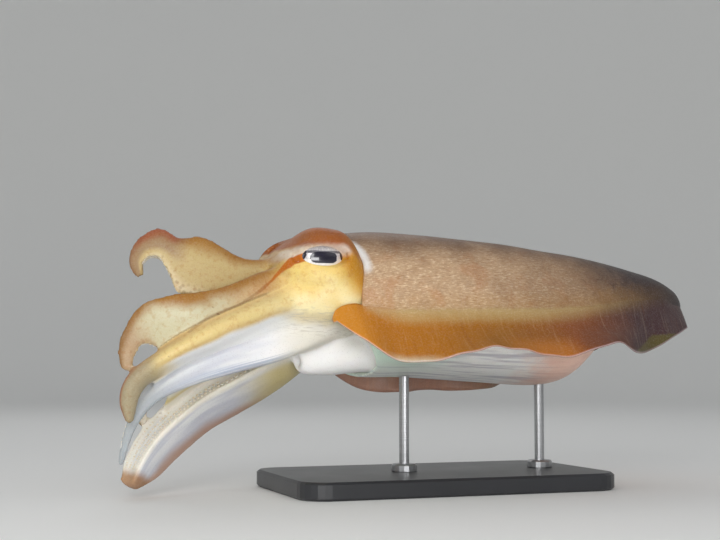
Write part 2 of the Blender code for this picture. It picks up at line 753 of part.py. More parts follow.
def arm_path(arm):
    """Even samples of an arm's core: point, heading and sucker direction at each."""
    knots = [Vector(point) * MM for point in arm["path"]]
    dense = []
    for k in range(len(knots) - 1):
        before = knots[max(k - 1, 0)]
        after = knots[min(k + 2, len(knots) - 1)]
        for step in range(PATH_STEPS):
            t = step / PATH_STEPS
            a, b = knots[k], knots[k + 1]
            pull_a, pull_b = (b - before) * 0.5, (after - a) * 0.5
            dense.append(
                a * (2 * t**3 - 3 * t**2 + 1)
                + pull_a * (t**3 - 2 * t**2 + t)
                + b * (3 * t**2 - 2 * t**3)
                + pull_b * (t**3 - t**2)
            )
    dense.append(knots[-1])
    lengths = [0.0]
    for a, b in zip(dense, dense[1:]):
        lengths.append(lengths[-1] + (b - a).length)
    points = []
    index = 0
    for k in range(PATH_SAMPLES + 1):
        target = lengths[-1] * k / PATH_SAMPLES
        while index < len(dense) - 2 and lengths[index + 1] < target:
            index += 1
        span = lengths[index + 1] - lengths[index]
        points.append(dense[index].lerp(dense[index + 1], (target - lengths[index]) / span))
    headings = []
    for k in range(PATH_SAMPLES + 1):
        headings.append((points[min(k + 1, PATH_SAMPLES)] - points[max(k - 1, 0)]).normalized())
    face = Vector((0.0, *arm["face"]))
    faces = []
    for heading in headings:
        face = (face - heading * face.dot(heading)).normalized()
        faces.append(face.copy())
    return points, headings, faces, lengths[-1]


def arm_section(arm, path, share):
    """Ring of an arm: sucker face, a thin membrane on each side of it, and the keel behind."""
    points, headings, faces, _ = path
    place = min(max(share, 0.0), 1.0) * PATH_SAMPLES
    index = min(int(place), PATH_SAMPLES - 1)
    blend = place - index
    middle = points[index].lerp(points[index + 1], blend)
    face = faces[index].lerp(faces[index + 1], blend).normalized()
    heading = headings[index].lerp(headings[index + 1], blend).normalized()
    across = heading.cross(face)
    keel, oral, breadth = (through(arm[key], share) * MM for key in ("keel", "oral", "breadth"))
    half = 0.5 * breadth
    outline = [(u * oral, v * half) for u, v in ORAL_OUTLINE]
    outline += [(-u * keel, v * half) for u, v in KEEL_OUTLINE]
    mirrored = [(u, -v) for u, v in reversed(outline[1:-1])]
    return [middle + face * u + across * v for u, v in (*outline, *mirrored)]


def make_arm_length(name, arm, path, start, end, spans, collection):
    rings = [arm_section(arm, path, start + (end - start) * k / spans) for k in range(spans + 1)]
    if end < 1.0:
        return loft(name, rings, collection)
    points, headings, _, _ = path
    return loft(name, rings, collection, None, points[-1] + headings[-1] * TIP_LENGTH)


def make_arm(label, collection):
    """The three lengths of one arm, a gap apart."""
    arm = ARMS[label]
    path = arm_path(arm)
    half_gap = 0.5 * GAP / path[3]
    first, second = arm["splits"]
    spans = ((0.0, first - half_gap), (first + half_gap, second - half_gap), (second + half_gap, 1.0))
    lengths = []
    for (length, rings), (start, end) in zip(ARM_LENGTHS, spans):
        lengths.append(make_arm_length(f"arm_{label}_{length}", arm, path, start, end, rings, collection))
    return lengths


def make_sucker(name, point, axis, heading, radius, collection):
    """A cup with its root sunk in the arm, a wider rim and a dimple."""
    side = axis.cross(heading).normalized()
    heading = side.cross(axis)
    root = circle(point - axis * (0.7 * radius), side, heading, 0.7 * radius, SUCKER_SIDES)
    rim = circle(point + axis * (0.75 * radius), side, heading, radius, SUCKER_SIDES)
    return loft(name, [root, rim], collection, None, point + axis * (0.35 * radius))


def add_suckers(label, lengths, others):
    """Fuse one arm's suckers to its lengths, leaving out those that would touch another node."""
    arm = ARMS[label]
    path = arm_path(arm)
    trees = [surface_tree(other) for other in others]
    cups = [new_collection("cups_" + piece.name) for piece in lengths]
    bounds = (0.0, *arm["splits"], 1.0)
    for k in range(SUCKERS_PER_ARM):
        share = SUCKER_FIRST + (SUCKER_LAST - SUCKER_FIRST) * k / (SUCKERS_PER_ARM - 1)
        radius = SUCKER_RADII[0] + (SUCKER_RADII[1] - SUCKER_RADII[0]) * share**1.5
        margin = (radius + SUCKER_CLEARANCE) / path[3]
        index = sum(share > bound for bound in arm["splits"])
        share = min(max(share, bounds[index] + margin), bounds[index + 1] - margin)
        ring = arm_section(arm, path, share)
        middle, keel = ring[0], ring[len(ring) // 2]
        point = middle.lerp(ring[1] if k % 2 else ring[-1], SUCKER_ROW)
        heading = (arm_section(arm, path, share + 0.01)[0] - middle).normalized()
        axis = middle - keel
        axis = (axis - heading * axis.dot(heading)).normalized()
        reach = radius + SUCKER_CLEARANCE
        if any(tree.find_nearest(point + axis * radius, reach)[0] is not None for tree in trees):
            continue
        make_sucker(f"cup_{k}", point, axis, heading, radius, cups[index])
    for piece, pieces in zip(lengths, cups):
        fuse(piece, pieces)


# Stand


def make_base(collection):
    length, width, height = BASE_SIZE
    corners = []
    for first, (cx, cy) in enumerate(((1, 1), (-1, 1), (-1, -1), (1, -1))):
        for k in range(BASE_CORNER_STEPS + 1):
            turn = 0.5 * math.pi * (first + k / BASE_CORNER_STEPS)
            x = cx * (0.5 * length - BASE_CORNER) + BASE_CORNER * math.cos(turn)
            y = cy * (0.5 * width - BASE_CORNER) + BASE_CORNER * math.sin(turn)
            corners.append((x, y))
    rings = []
    levels = ((0.0, BASE_BEVEL), (BASE_BEVEL, 0.0), (height - BASE_BEVEL, 0.0), (height, BASE_BEVEL))
    for z, inset in levels:
        scale_x = 1 - 2 * inset / length
        scale_y = 1 - 2 * inset / width
        rings.append([Vector((x * scale_x, y * scale_y, z)) for x, y in corners])
    return loft("stand_base", rings, collection)


def make_rod(label, x, collection):
    """A steel rod with a collar on the base, a little longer than it needs to be."""
    low = BASE_SIZE[2] + GAP
    collar_top = low + ROD_COLLAR_HEIGHT
    profile = (
        (ROD_COLLAR_RADIUS, low),
        (ROD_COLLAR_RADIUS, collar_top - ROD_COLLAR_BEVEL),
        (ROD_COLLAR_RADIUS - ROD_COLLAR_BEVEL, collar_top),
        (ROD_RADIUS, collar_top + GAP),
        (ROD_RADIUS, ROD_TOP),
    )
    across, along = Vector((1.0, 0.0, 0.0)), Vector((0.0, 1.0, 0.0))
    rings = [circle(Vector((x, 0.0, z)), across, along, radius, ROD_SIDES) for radius, z in profile]
    return loft(f"stand_rod_{label}", rings, collection)


def pose(things, parent):
    """Hang the body's nodes on the posture empty."""
    for thing in things:
        thing.parent = parent


def dress(things, name):
    for thing in things:
        thing.data.materials.clear()
        thing.data.materials.append(finish(name))
        thing.data.shade_smooth()
        thing.data.set_sharp_from_angle(angle=math.radians(50))


def build():
    clear_scene()
    parts = new_collection("common_cuttlefish")
    cutters = new_collection("cutters")

    mantle = make_mantle(parts)
    neck = make_neck(parts)
    head = make_head(parts)
    keep_clear(neck, [mantle], cutters)
    keep_clear(head, [mantle], cutters)
    eyes = [make_eye(side, head, parts, cutters) for side in ("left", "right")]

    funnel = make_funnel(parts)
    keep_clear(funnel, [mantle, neck, head], cutters)

    fins = []
    for side in ("left", "right"):
        for length, start, end in FIN_LENGTHS:
            fin = make_fin(side, length, start, end, parts)
            keep_clear(fin, [mantle], cutters)
            fins.append(fin)

    arms = {label: make_arm(label, parts) for label in ARMS}
    made = []
    for lengths in arms.values():
        keep_clear(lengths[0], [head, funnel], cutters)
        for piece in lengths:
            keep_clear(piece, made, cutters)
        made.extend(lengths)

    mouth = turned("mouth", LIP_PROFILE, LIP_SIDES, parts)
    place_in_crown(mouth)
    keep_clear(mouth, [head, *made], cutters)
    beak = turned("beak", BEAK_PROFILE, BEAK_SIDES, parts)
    place_in_crown(beak)
    keep_clear(beak, [head, mouth], cutters)

    for label, lengths in arms.items():
        others = [piece for piece in made if piece not in lengths]
        add_suckers(label, lengths, [*others, head, funnel, mouth])

    flesh = [mantle, neck, head, *eyes, funnel, *fins, *made, mouth, beak]
    posture = bpy.data.objects.new("posture", None)
    parts.objects.link(posture)
    posture.location = (0.0, 0.0, BODY_HEIGHT)
    posture.rotation_euler = (BODY_BANK, 0.0, 0.0)
    pose(flesh, posture)

    base = make_base(parts)
    bpy.context.view_layer.update()
    belly = grown_copy(mantle, GAP, cutters)
    belly.matrix_world = posture.matrix_world
    rods = []
    for label, x in ROD_PLACES.items():
        rod = make_rod(label, x, parts)
        cut(rod, belly)
        rods.append(rod)
    bpy.data.objects.remove(belly, do_unlink=True)

    dress([mantle], "mantle_skin")
    dress(fins, "fin_skin")
    dress([head, neck], "head_skin")
    dress([funnel, mouth], "pale_skin")
    dress(eyes, "eye_glass")
    dress([beak], "beak_horn")
    dress([piece for piece in made if "_4_" not in piece.name], "arm_skin")
    dress([piece for piece in made if "_4_" in piece.name], "ventral_arm_skin")
    dress([base], "stand_base_lacquer")
    dress(rods, "stand_rod_steel")


build()
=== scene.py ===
# Common cuttlefish as a life-size museum model: skin, suckers, eyes, beak and stand finishes.
# Shapes are worked out in the body's own frame, in mm, with the tail to +X and the back to +Z.
import math

import bpy
import numpy as np
from mathutils import Matrix, Vector, noise
from mathutils.bvhtree import BVHTree
from mathutils.kdtree import KDTree


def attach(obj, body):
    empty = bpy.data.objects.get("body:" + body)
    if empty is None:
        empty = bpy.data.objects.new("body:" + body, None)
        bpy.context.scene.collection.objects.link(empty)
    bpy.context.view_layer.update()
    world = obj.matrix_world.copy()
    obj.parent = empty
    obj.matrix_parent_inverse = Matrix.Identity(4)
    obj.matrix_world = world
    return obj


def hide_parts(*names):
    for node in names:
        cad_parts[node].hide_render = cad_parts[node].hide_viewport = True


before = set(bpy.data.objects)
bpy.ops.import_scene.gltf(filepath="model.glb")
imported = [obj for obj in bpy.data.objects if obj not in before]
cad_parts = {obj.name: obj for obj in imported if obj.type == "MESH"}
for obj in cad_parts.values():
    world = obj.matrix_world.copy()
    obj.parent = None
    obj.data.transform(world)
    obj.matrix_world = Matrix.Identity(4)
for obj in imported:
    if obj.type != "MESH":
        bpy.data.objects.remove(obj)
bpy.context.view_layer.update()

mm = 0.001
posture = {"lift": 126, "bank": -8}  # height over the floor and roll in degrees, as in the frame
bodyToWorld = (
    Matrix.Translation((0, 0, posture["lift"] * mm))
    @ Matrix.Rotation(math.radians(posture["bank"]), 4, "X")
    @ Matrix.Diagonal((mm, mm, mm, 1))
)


# small helpers for shapes

def curveThrough(stations, at, column=1):
    # smooth curve through one column of a station table, read at places in its first column
    table = np.array(stations, float)
    if table[0, 0] > table[-1, 0]:
        table = table[::-1]
    places, values = table[:, 0], table[:, column]
    slopes = np.empty(len(places))
    slopes[1:-1] = (values[2:] - values[:-2]) / (places[2:] - places[:-2])
    slopes[0] = (values[1] - values[0]) / (places[1] - places[0])
    slopes[-1] = (values[-1] - values[-2]) / (places[-1] - places[-2])
    at = np.clip(at, places[0], places[-1])
    index = np.clip(np.searchsorted(places, at, side="right") - 1, 0, len(places) - 2)
    span = places[index + 1] - places[index]
    t = (at - places[index]) / span
    rise = (t**3 - 2 * t**2 + t) * slopes[index] + (t**3 - t**2) * slopes[index + 1]
    return (2 * t**3 - 3 * t**2 + 1) * values[index] + (3 * t**2 - 2 * t**3) * values[index + 1] + rise * span


def smoothStep(low, high, value):
    t = np.clip((value - low) / (high - low), 0.0, 1.0)
    return t * t * (3 - 2 * t)


def placesOf(x, y, z):
    # points from three coordinates, each a number or an array
    return np.stack(np.broadcast_arrays(x, y, z), axis=-1)


def ovalPoints(x, angles, halfWidth, top, bottom, middle, roundness):
    # one egg-shaped section: angle 0 is the left side and a quarter turn the back
    c, s = np.cos(angles), np.sin(angles)
    reach = np.where(s > 0, top - middle, middle - bottom)
    y = -halfWidth * np.sign(c) * np.abs(c) ** roundness
    return placesOf(x, y, middle + reach * np.sign(s) * np.abs(s) ** roundness)


def turnsOf(count):
    return 2 * math.pi * np.arange(count) / count


def shell(rings, start=None, end=None):
    # closed skin over rings of equal count, with a pole at each end, its faces outwards
    rings = np.asarray(rings, float)
    rows, count, _ = rings.shape
    points = [rings.reshape(-1, 3)]
    low = np.arange(rows - 1)[:, None] * count
    here, ahead = low + np.arange(count), low + (np.arange(count) + 1) % count
    quads = np.stack([here, ahead, ahead + count, here + count], axis=-1).reshape(-1, 4)
    caps = []
    total = rows * count
    for row, pole, backwards in ((0, start, True), (rows - 1, end, False)):
        pole = rings[row].mean(axis=0) if pole is None else np.asarray(pole, float)
        points.append(pole[None, :])
        a = row * count + np.arange(count)
        b = row * count + (np.arange(count) + 1) % count
        middle = np.full(count, total)
        caps.append(np.stack([b, a, middle] if backwards else [a, b, middle], axis=-1))
        total += 1
    points = np.concatenate(points)
    tris = np.concatenate(caps)
    split = np.concatenate([quads[:, [0, 1, 2]], quads[:, [0, 2, 3]], tris])
    a, b, c = (points[split[:, k]] for k in range(3))
    if np.einsum("ij,ij->i", a, np.cross(b, c)).sum() < 0:
        quads, tris = quads[:, ::-1], tris[:, ::-1]
    return {"points": points, "faces": [*quads.tolist(), *tris.tolist()]}


def joined(shapes):
    # several shells as one, with their marks
    points, faces, offset = [], [], 0
    marks = {name: [] for name in {key for shape in shapes for key in shape.get("marks", {})}}
    for shape in shapes:
        points.append(shape["points"])
        faces += [[k + offset for k in face] for face in shape["faces"]]
        offset += len(shape["points"])
        for name, parts in marks.items():
            parts.append(shape.get("marks", {}).get(name, np.zeros(len(shape["points"]))))
    return {
        "points": np.concatenate(points),
        "faces": faces,
        "marks": {name: np.concatenate(parts) for name, parts in marks.items()},
    }


def meshOf(name, shape, place=bodyToWorld):
    mesh = bpy.data.meshes.new(name)
    mesh.from_pydata(shape["points"].tolist(), [], shape["faces"])
    for mark, values in shape.get("marks", {}).items():
        layer = mesh.attributes.new(mark, "FLOAT", "POINT")
        layer.data.foreach_set("value", np.asarray(values, np.float32))
    if place is not None:
        mesh.transform(place)
    mesh.shade_smooth()
    return mesh


def objectOf(name, data):
    thing = bpy.data.objects.new(name, data)
    bpy.context.scene.collection.objects.link(thing)
    return thing


def bakedMesh(thing):
    # the mesh of an object with its modifiers worked in
    bpy.context.view_layer.update()
    graph = bpy.context.evaluated_depsgraph_get()
    return bpy.data.meshes.new_from_object(thing.evaluated_get(graph))


def pointsOf(mesh):
    points = np.empty(len(mesh.vertices) * 3, np.float32)
    mesh.vertices.foreach_get("co", points)
    return points.reshape(-1, 3).astype(float)


def relaxed(points, edges, amount, times, shrinkBack=0.0):
    # move each point towards the middle of its neighbours, and partly back again
    a, b = edges[:, 0], edges[:, 1]
    count = np.bincount(a, minlength=len(points)) + np.bincount(b, minlength=len(points))
    for _ in range(times):
        for step in (amount, -shrinkBack * amount) if shrinkBack else (amount,):
            middle = np.empty_like(points)
            for axis in range(3):
                total = np.bincount(a, points[b, axis], len(points))
                total += np.bincount(b, points[a, axis], len(points))
                middle[:, axis] = total / np.maximum(count, 1)
            points = points + (middle - points) * (step[:, None] if np.ndim(step) else step)
    return points


def addNode(tree, kind, settings=None, inputs=None):
    # a node with its settings, such as a ramp's stops, and the values or links of its sockets
    made = tree.nodes.new(kind)
    for key, value in (settings or {}).items():
        if key == "stops":
            ramp = made.color_ramp
            while len(ramp.elements) < len(value):
                ramp.elements.new(0.5)
            for element, (place, colour) in zip(ramp.elements, value):
                element.position = place
                element.color = colour
        else:
            setattr(made, key, value)
    for key, value in (inputs or {}).items():
        if isinstance(value, bpy.types.NodeSocket):
            tree.links.new(value, made.inputs[key])
        else:
            made.inputs[key].default_value = value
    return made


# mantle

mantleShape = {
    # x, top, bottom, half width, height of the fin line
    "stations": (
        (-80, 50, -46, 45.5, -17),
        (-50, 52.5, -47.5, 55, -17),
        (-20, 51, -47.5, 59.5, -17),
        (40, 46.5, -51.5, 61, -16),
        (80, 42, -54, 57.5, -14),
        (97, 40, -50.5, 54.5, -12),
        (117, 37, -32, 49, -9),
        (132, 34.5, -24, 44, -6),
        (150, 31, -18, 37.5, -3),
        (175, 25, -11, 27, 2),
        (194, 17, -5, 15, 4),
        (201, 11, -1, 8, 4),
        (205, 6, 2, 2, 4),
    ),
    "roundness": 0.88,
    "edgeBack": -80,
    "edgeSide": -70,
    "edgeUnder": -51,
    "tail": 205,
    "sides": 140,
    "rings": 88,
    # the rolled front edge, from deep in the pocket to the outside: back from the edge, in from the surface
    "lip": (
        (15, 8), (9, 5.4), (4.5, 4), (2, 3.4), (0.6, 2.8), (0, 1.9), (0.1, 1), (0.7, 0.35), (1.8, 0.05),
    ),
    "cheekRoom": 5,
    "finLean": 5,
    "swell": 0.011,
    "swellSize": (46, 30, 30),
}


def mantlePoints(x, angles):
    table = mantleShape["stations"]
    top, bottom, halfWidth, middle = (curveThrough(table, x, k) for k in (1, 2, 3, 4))
    return ovalPoints(x, angles, halfWidth, top, bottom, middle, mantleShape["roundness"])


def buildMantle():
    look = mantleShape
    angles = turnsOf(look["sides"])
    s = np.sin(angles)
    far = np.where(s > 0, look["edgeBack"], look["edgeUnder"])
    edge = look["edgeSide"] + (far - look["edgeSide"]) * np.abs(s) ** np.where(s > 0, 3.0, 2.0)
    # the edge leans back behind the cheek and forwards at the fin
    edge += np.where(s > 0, look["cheekRoom"] * np.sin(np.pi * np.clip((s - 0.2) / 0.75, 0, 1)) ** 2, 0.0)
    edge -= look["finLean"] * np.maximum(1 - np.abs(s) / 0.22, 0) ** 2
    rings, backs = [], []
    for back, inward in look["lip"]:
        ring = mantlePoints(edge + back, angles)
        across = ring[:, 1:] / np.linalg.norm(ring[:, 1:], axis=1)[:, None]
        ring[:, 1:] -= across * inward
        rings.append(ring)
        backs.append(np.full(len(angles), back if inward < 2.9 else 0.0))
    first = look["lip"][-1][0] + 1.6
    for k in range(look["rings"]):
        share = math.sin(0.5 * math.pi * k / look["rings"]) ** 1.1
        x = edge + first + (look["tail"] - edge - first) * share
        ring = mantlePoints(x, angles)
        line = curveThrough(look["stations"], x, 4)
        for point, middle in zip(ring, line):  # slow, soft swellings of the flesh
            lump = noise.noise(Vector(point / look["swellSize"]))
            point[1:] *= 1 + look["swell"] * lump * smoothStep(14, 30, point[2] - middle)
        rings.append(ring)
        backs.append(x - edge)
    shape = shell(rings, (look["edgeSide"] + 15, 0, 0), (look["tail"], 0, look["stations"][-1][4]))
    points = shape["points"]
    line = curveThrough(look["stations"], points[:, 0], 4)
    shape["marks"] = {
        "onMantle": np.ones(len(points)),
        "overFin": points[:, 2] - line,
        "behindEdge": np.concatenate([np.concatenate(backs), (0.0, 270.0)]),
    }
    return shape


# fins

finShape = {
    "front": -92,
    "lobe": -32,
    "rear": 203,
    "taperFrom": 120,
    "width": 36,
    "tailWidth": 20,
    "rootThickness": 3.4,
    "edgeThickness": 1.0,
    "sink": 3,
    "lobeLine": 0.08,
    # steepness in degrees below level: x, at the root, at the edge
    "droop": {
        "left": (
            (-92, 55, 50), (-46, 62, 64), (4, 60, 24), (30, 60, 34), (62, 62, 54),
            (100, 62, 24), (118, 60, 50), (146, 62, 100), (172, 60, 76), (203, 60, 64),
        ),
        "right": (
            (-92, 10, 5), (-62, 16, 14), (-40, 40, 52), (-20, 62, 88), (-4, 72, 98), (18, 70, 60),
            (62, 72, 96), (96, 55, 40), (130, 30, 10), (160, 30, 50), (203, 20, 10),
        ),
    },
    "cellsAlong": 190,
    "cellsAcross": 12,
    "bendSteps": 24,
    "ripple": 0.6,
    "rippleLength": 26,
    "fillet": 11,  # how far the blend climbs the mantle over the fin line
    "filletShare": 0.3,  # how far it reaches out over the fin
    "frontRise": 11,
    "frontHump": -76,
}


def buildFin(side):
    look = finShape
    sign = -1 if side == "left" else 1
    x = np.linspace(look["front"], look["rear"], look["cellsAlong"] + 1)
    rootX = np.maximum(x, mantleShape["edgeSide"])
    y0 = np.maximum(curveThrough(mantleShape["stations"], rootX, 3) - look["sink"], 1.5)
    z0 = curveThrough(mantleShape["stations"], rootX, 4)
    # the upper edge rises from the nose to the hump as a quarter of an oval, and falls off behind it
    ahead = np.clip((look["frontHump"] - x) / (look["frontHump"] - look["front"]), 0, 1)
    lift = look["frontRise"] * np.where(
        x < look["frontHump"], 0.3 + 0.7 * np.sqrt(1 - ahead**2), np.exp(-((x - look["frontHump"]) / 14) ** 2)
    )
    z0 = z0 + lift
    tail = np.clip((x - look["taperFrom"]) / (look["rear"] - look["taperFrom"]), 0, 1)
    width = look["width"] + (look["tailWidth"] - look["width"]) * tail**2
    ahead = np.clip((x - look["lobe"]) / (look["front"] - look["lobe"]), 0, 1)
    lobe = np.maximum(1 - ahead**2, 0.02) ** 0.54
    width = width + 0.8 * lift
    rootAngle, edgeAngle = (np.radians(curveThrough(look["droop"][side], x, k)) for k in (1, 2))
    across = np.linspace(0, 1, look["cellsAcross"] + 1)
    middles, normals = [], []
    for share in across:
        reach = look["lobeLine"] + (share - look["lobeLine"]) * lobe
        y, z = y0.copy(), z0.copy()
        for k in range(look["bendSteps"]):
            angle = rootAngle + (edgeAngle - rootAngle) * reach * (k + 0.5) / look["bendSteps"]
            y += np.cos(angle) * width * reach / look["bendSteps"]
            z -= np.sin(angle) * width * reach / look["bendSteps"]
        angle = rootAngle + (edgeAngle - rootAngle) * reach
        turn = x * 2 * math.pi / look["rippleLength"] + 1.3 * np.sin(x / 37)
        wave = np.sin(turn) * look["ripple"] * share**2
        up = placesOf(0, sign * np.sin(angle), np.cos(angle))
        middles.append(placesOf(x, sign * y, z) + up * wave[:, None])
        normals.append(up)

    def surface(k, face):
        half = 0.5 * (look["rootThickness"] + (look["edgeThickness"] - look["rootThickness"]) * across[k])
        return middles[k] + normals[k] * (half * face * (0.55 if k == len(across) - 1 else 1.0))

    # the upper face starts as a soft blend that runs down from the mantle
    table = mantleShape["stations"]
    climb = look["fillet"] * smoothStep(-77, -54, x) * (1 - smoothStep(150, 200, x))
    top, halfWidth = (curveThrough(table, rootX, column) for column in (1, 3))
    rise = np.clip((climb + lift) / (top - z0 + lift), 0, 0.9) ** (1 / mantleShape["roundness"])
    wide = halfWidth * np.sqrt(1 - rise**2) ** mantleShape["roundness"]
    high = placesOf(x, sign * (wide - 0.9), z0 + climb)
    low = placesOf(x, sign * (halfWidth + 0.5), z0 + climb * 0.45)
    first = int(round(look["filletShare"] * look["cellsAcross"]))
    land = surface(first, 1)
    ahead = surface(first, 1) - surface(first + 1, 1)
    near = land + ahead * 1.6
    blend = smoothStep(0.5, 5, climb)[:, None]
    rings, shares, unders, onFin = [], [], [], []
    for t in np.linspace(0, 1, 7)[:-1]:
        curve = high * (1 - t)**3 + low * 3 * t * (1 - t)**2 + near * 3 * t * t * (1 - t) + land * t**3
        own = surface(0, 1) + (land - surface(0, 1)) * t
        rings.append(own + (curve - own) * blend)
        shares.append(look["filletShare"] * t)
        unders.append(0.0)
        onFin.append(smoothStep(0.1, 0.75, t) * blend[:, 0] + 1 - blend[:, 0])
    order = [(k, 1) for k in range(first, len(across))] + [(k, -1) for k in reversed(range(len(across)))]
    for k, face in order:
        rings.append(surface(k, face))
        shares.append(across[k])
        unders.append(0.0 if face > 0 else 1.0)
        onFin.append(np.ones(len(x)))
    shape = shell(np.stack(rings, axis=1))
    count = len(x)
    points = shape["points"]
    over = points[:, 2] - curveThrough(table, points[:, 0], 4)
    shape["marks"] = {
        "onFin": np.concatenate([np.stack(onFin, axis=1).ravel(), (1.0, 1.0)]),
        "onMantle": np.ones(len(points)),
        "overFin": np.maximum(over, 2.0),
        "behindEdge": points[:, 0] + 78,
        "finShare": np.concatenate([np.tile(shares, count), (0.3, 0.3)]),
        "finUnder": np.concatenate([np.tile(unders, count), (0.0, 0.0)]),
    }
    return shape


# head, neck and funnel

headShape = {
    # x, top, bottom, half width
    "stations": (
        (-64, 36.0, -22.0, 41.0),
        (-70, 38.5, -24.0, 47.0),
        (-76, 40.0, -26.0, 48.5),
        (-84, 41.5, -27.0, 48.5),
        (-96, 43.0, -28.0, 46.5),
        (-108, 42.0, -28.0, 43.5),
        (-118, 38.5, -26.0, 38.5),
        (-126, 29.0, -19.0, 27.0),
        (-131, 14.0, -6.0, 10.0),
    ),
    "roundness": 0.9,
    "rear": -66,
    "front": -131,
    "sides": 96,
    "rings": 48,
    "orbitX": -88.5,
    "orbitHeight": 13.5,
    "orbitLength": 20,
    "orbitTurn": 54,
    "orbitSpread": 29,
    "neck": (
        (-65.7, 36.5, -21.0, 39.0),
        (-60, 42.0, -26.0, 44.0),
        (-54, 46.0, -35.0, 48.0),
        (-48, 48.0, -46.0, 54.0),
    ),
}


def buildHead():
    look = headShape
    angles = turnsOf(look["sides"])
    rings = []
    for k in range(look["rings"]):
        x = look["rear"] + (look["front"] - look["rear"]) * math.sin(0.5 * math.pi * k / look["rings"])
        top, bottom, halfWidth = (curveThrough(look["stations"], x, column) for column in (1, 2, 3))
        middle = 0.5 * (top + bottom)
        ring = ovalPoints(x, angles, halfWidth, top, bottom, middle, look["roundness"])
        radial = ring[:, 1:] - (0.0, middle)
        outward = radial / np.linalg.norm(radial, axis=1)[:, None]
        along = ((x - look["orbitX"]) / look["orbitLength"]) ** 4
        for target in (look["orbitTurn"], 180 - look["orbitTurn"]):
            off = (angles - math.radians(target) + math.pi) % (2 * math.pi) - math.pi
            bulge = look["orbitHeight"] * np.exp(-along - (off / math.radians(look["orbitSpread"])) ** 2)
            ring[:, 1:] += outward * bulge[:, None]
        rings.append(ring)
    return shell(rings, None, (look["front"], 0, 4))


def buildNeck():
    look = headShape
    angles = turnsOf(look["sides"])
    rings = []
    for x in np.linspace(look["neck"][0][0] - 6, look["neck"][-1][0], 14):
        top, bottom, halfWidth = (curveThrough(look["neck"], x, column) for column in (1, 2, 3))
        rings.append(ovalPoints(x, angles, halfWidth, top, bottom, 0.5 * (top + bottom), look["roundness"]))
    return shell(rings)


funnelShape = {
    "rear": (-46, -2, -31),
    "mouth": (-106, -8, -38.5),
    "radii": (
        (0, 14), (0.17, 13.4), (0.33, 13), (0.5, 12.9), (0.67, 12.6), (0.83, 11.6), (0.93, 10), (0.98, 8.2),
        (1, 6.6),
    ),
    "wall": 2.2,
    "bore": 12,
    "sides": 48,
    "rings": 60,
}


def circleRing(middle, side, lift, radius, angles):
    return middle + np.outer(np.cos(angles) * radius, side) + np.outer(np.sin(angles) * radius, lift)


def buildFunnel():
    look = funnelShape
    rear, mouth = np.array(look["rear"], float), np.array(look["mouth"], float)
    axis = mouth - rear
    length = np.linalg.norm(axis)
    axis /= length
    side = np.cross(axis, (0, 0, 1))
    side /= np.linalg.norm(side)
    lift = np.cross(side, axis)
    angles = turnsOf(look["sides"])
    rings = []
    for share in np.linspace(0, 1, look["rings"]):
        radius = curveThrough(look["radii"], share)
        rings.append(circleRing(rear + axis * length * share, side, lift, radius, angles))
    lip, wall = look["radii"][-1][1], look["wall"]
    # over the lip and down the bore
    for back, inward in ((-0.5, 0.6), (-0.5, 1.5), (0.4, wall), (5, wall * 1.2), (look["bore"], wall * 1.4)):
        rings.append(circleRing(mouth - axis * back, side, lift, lip - inward, angles))
    return shell(rings, None, mouth - axis * (look["bore"] + 1.5))


# arms

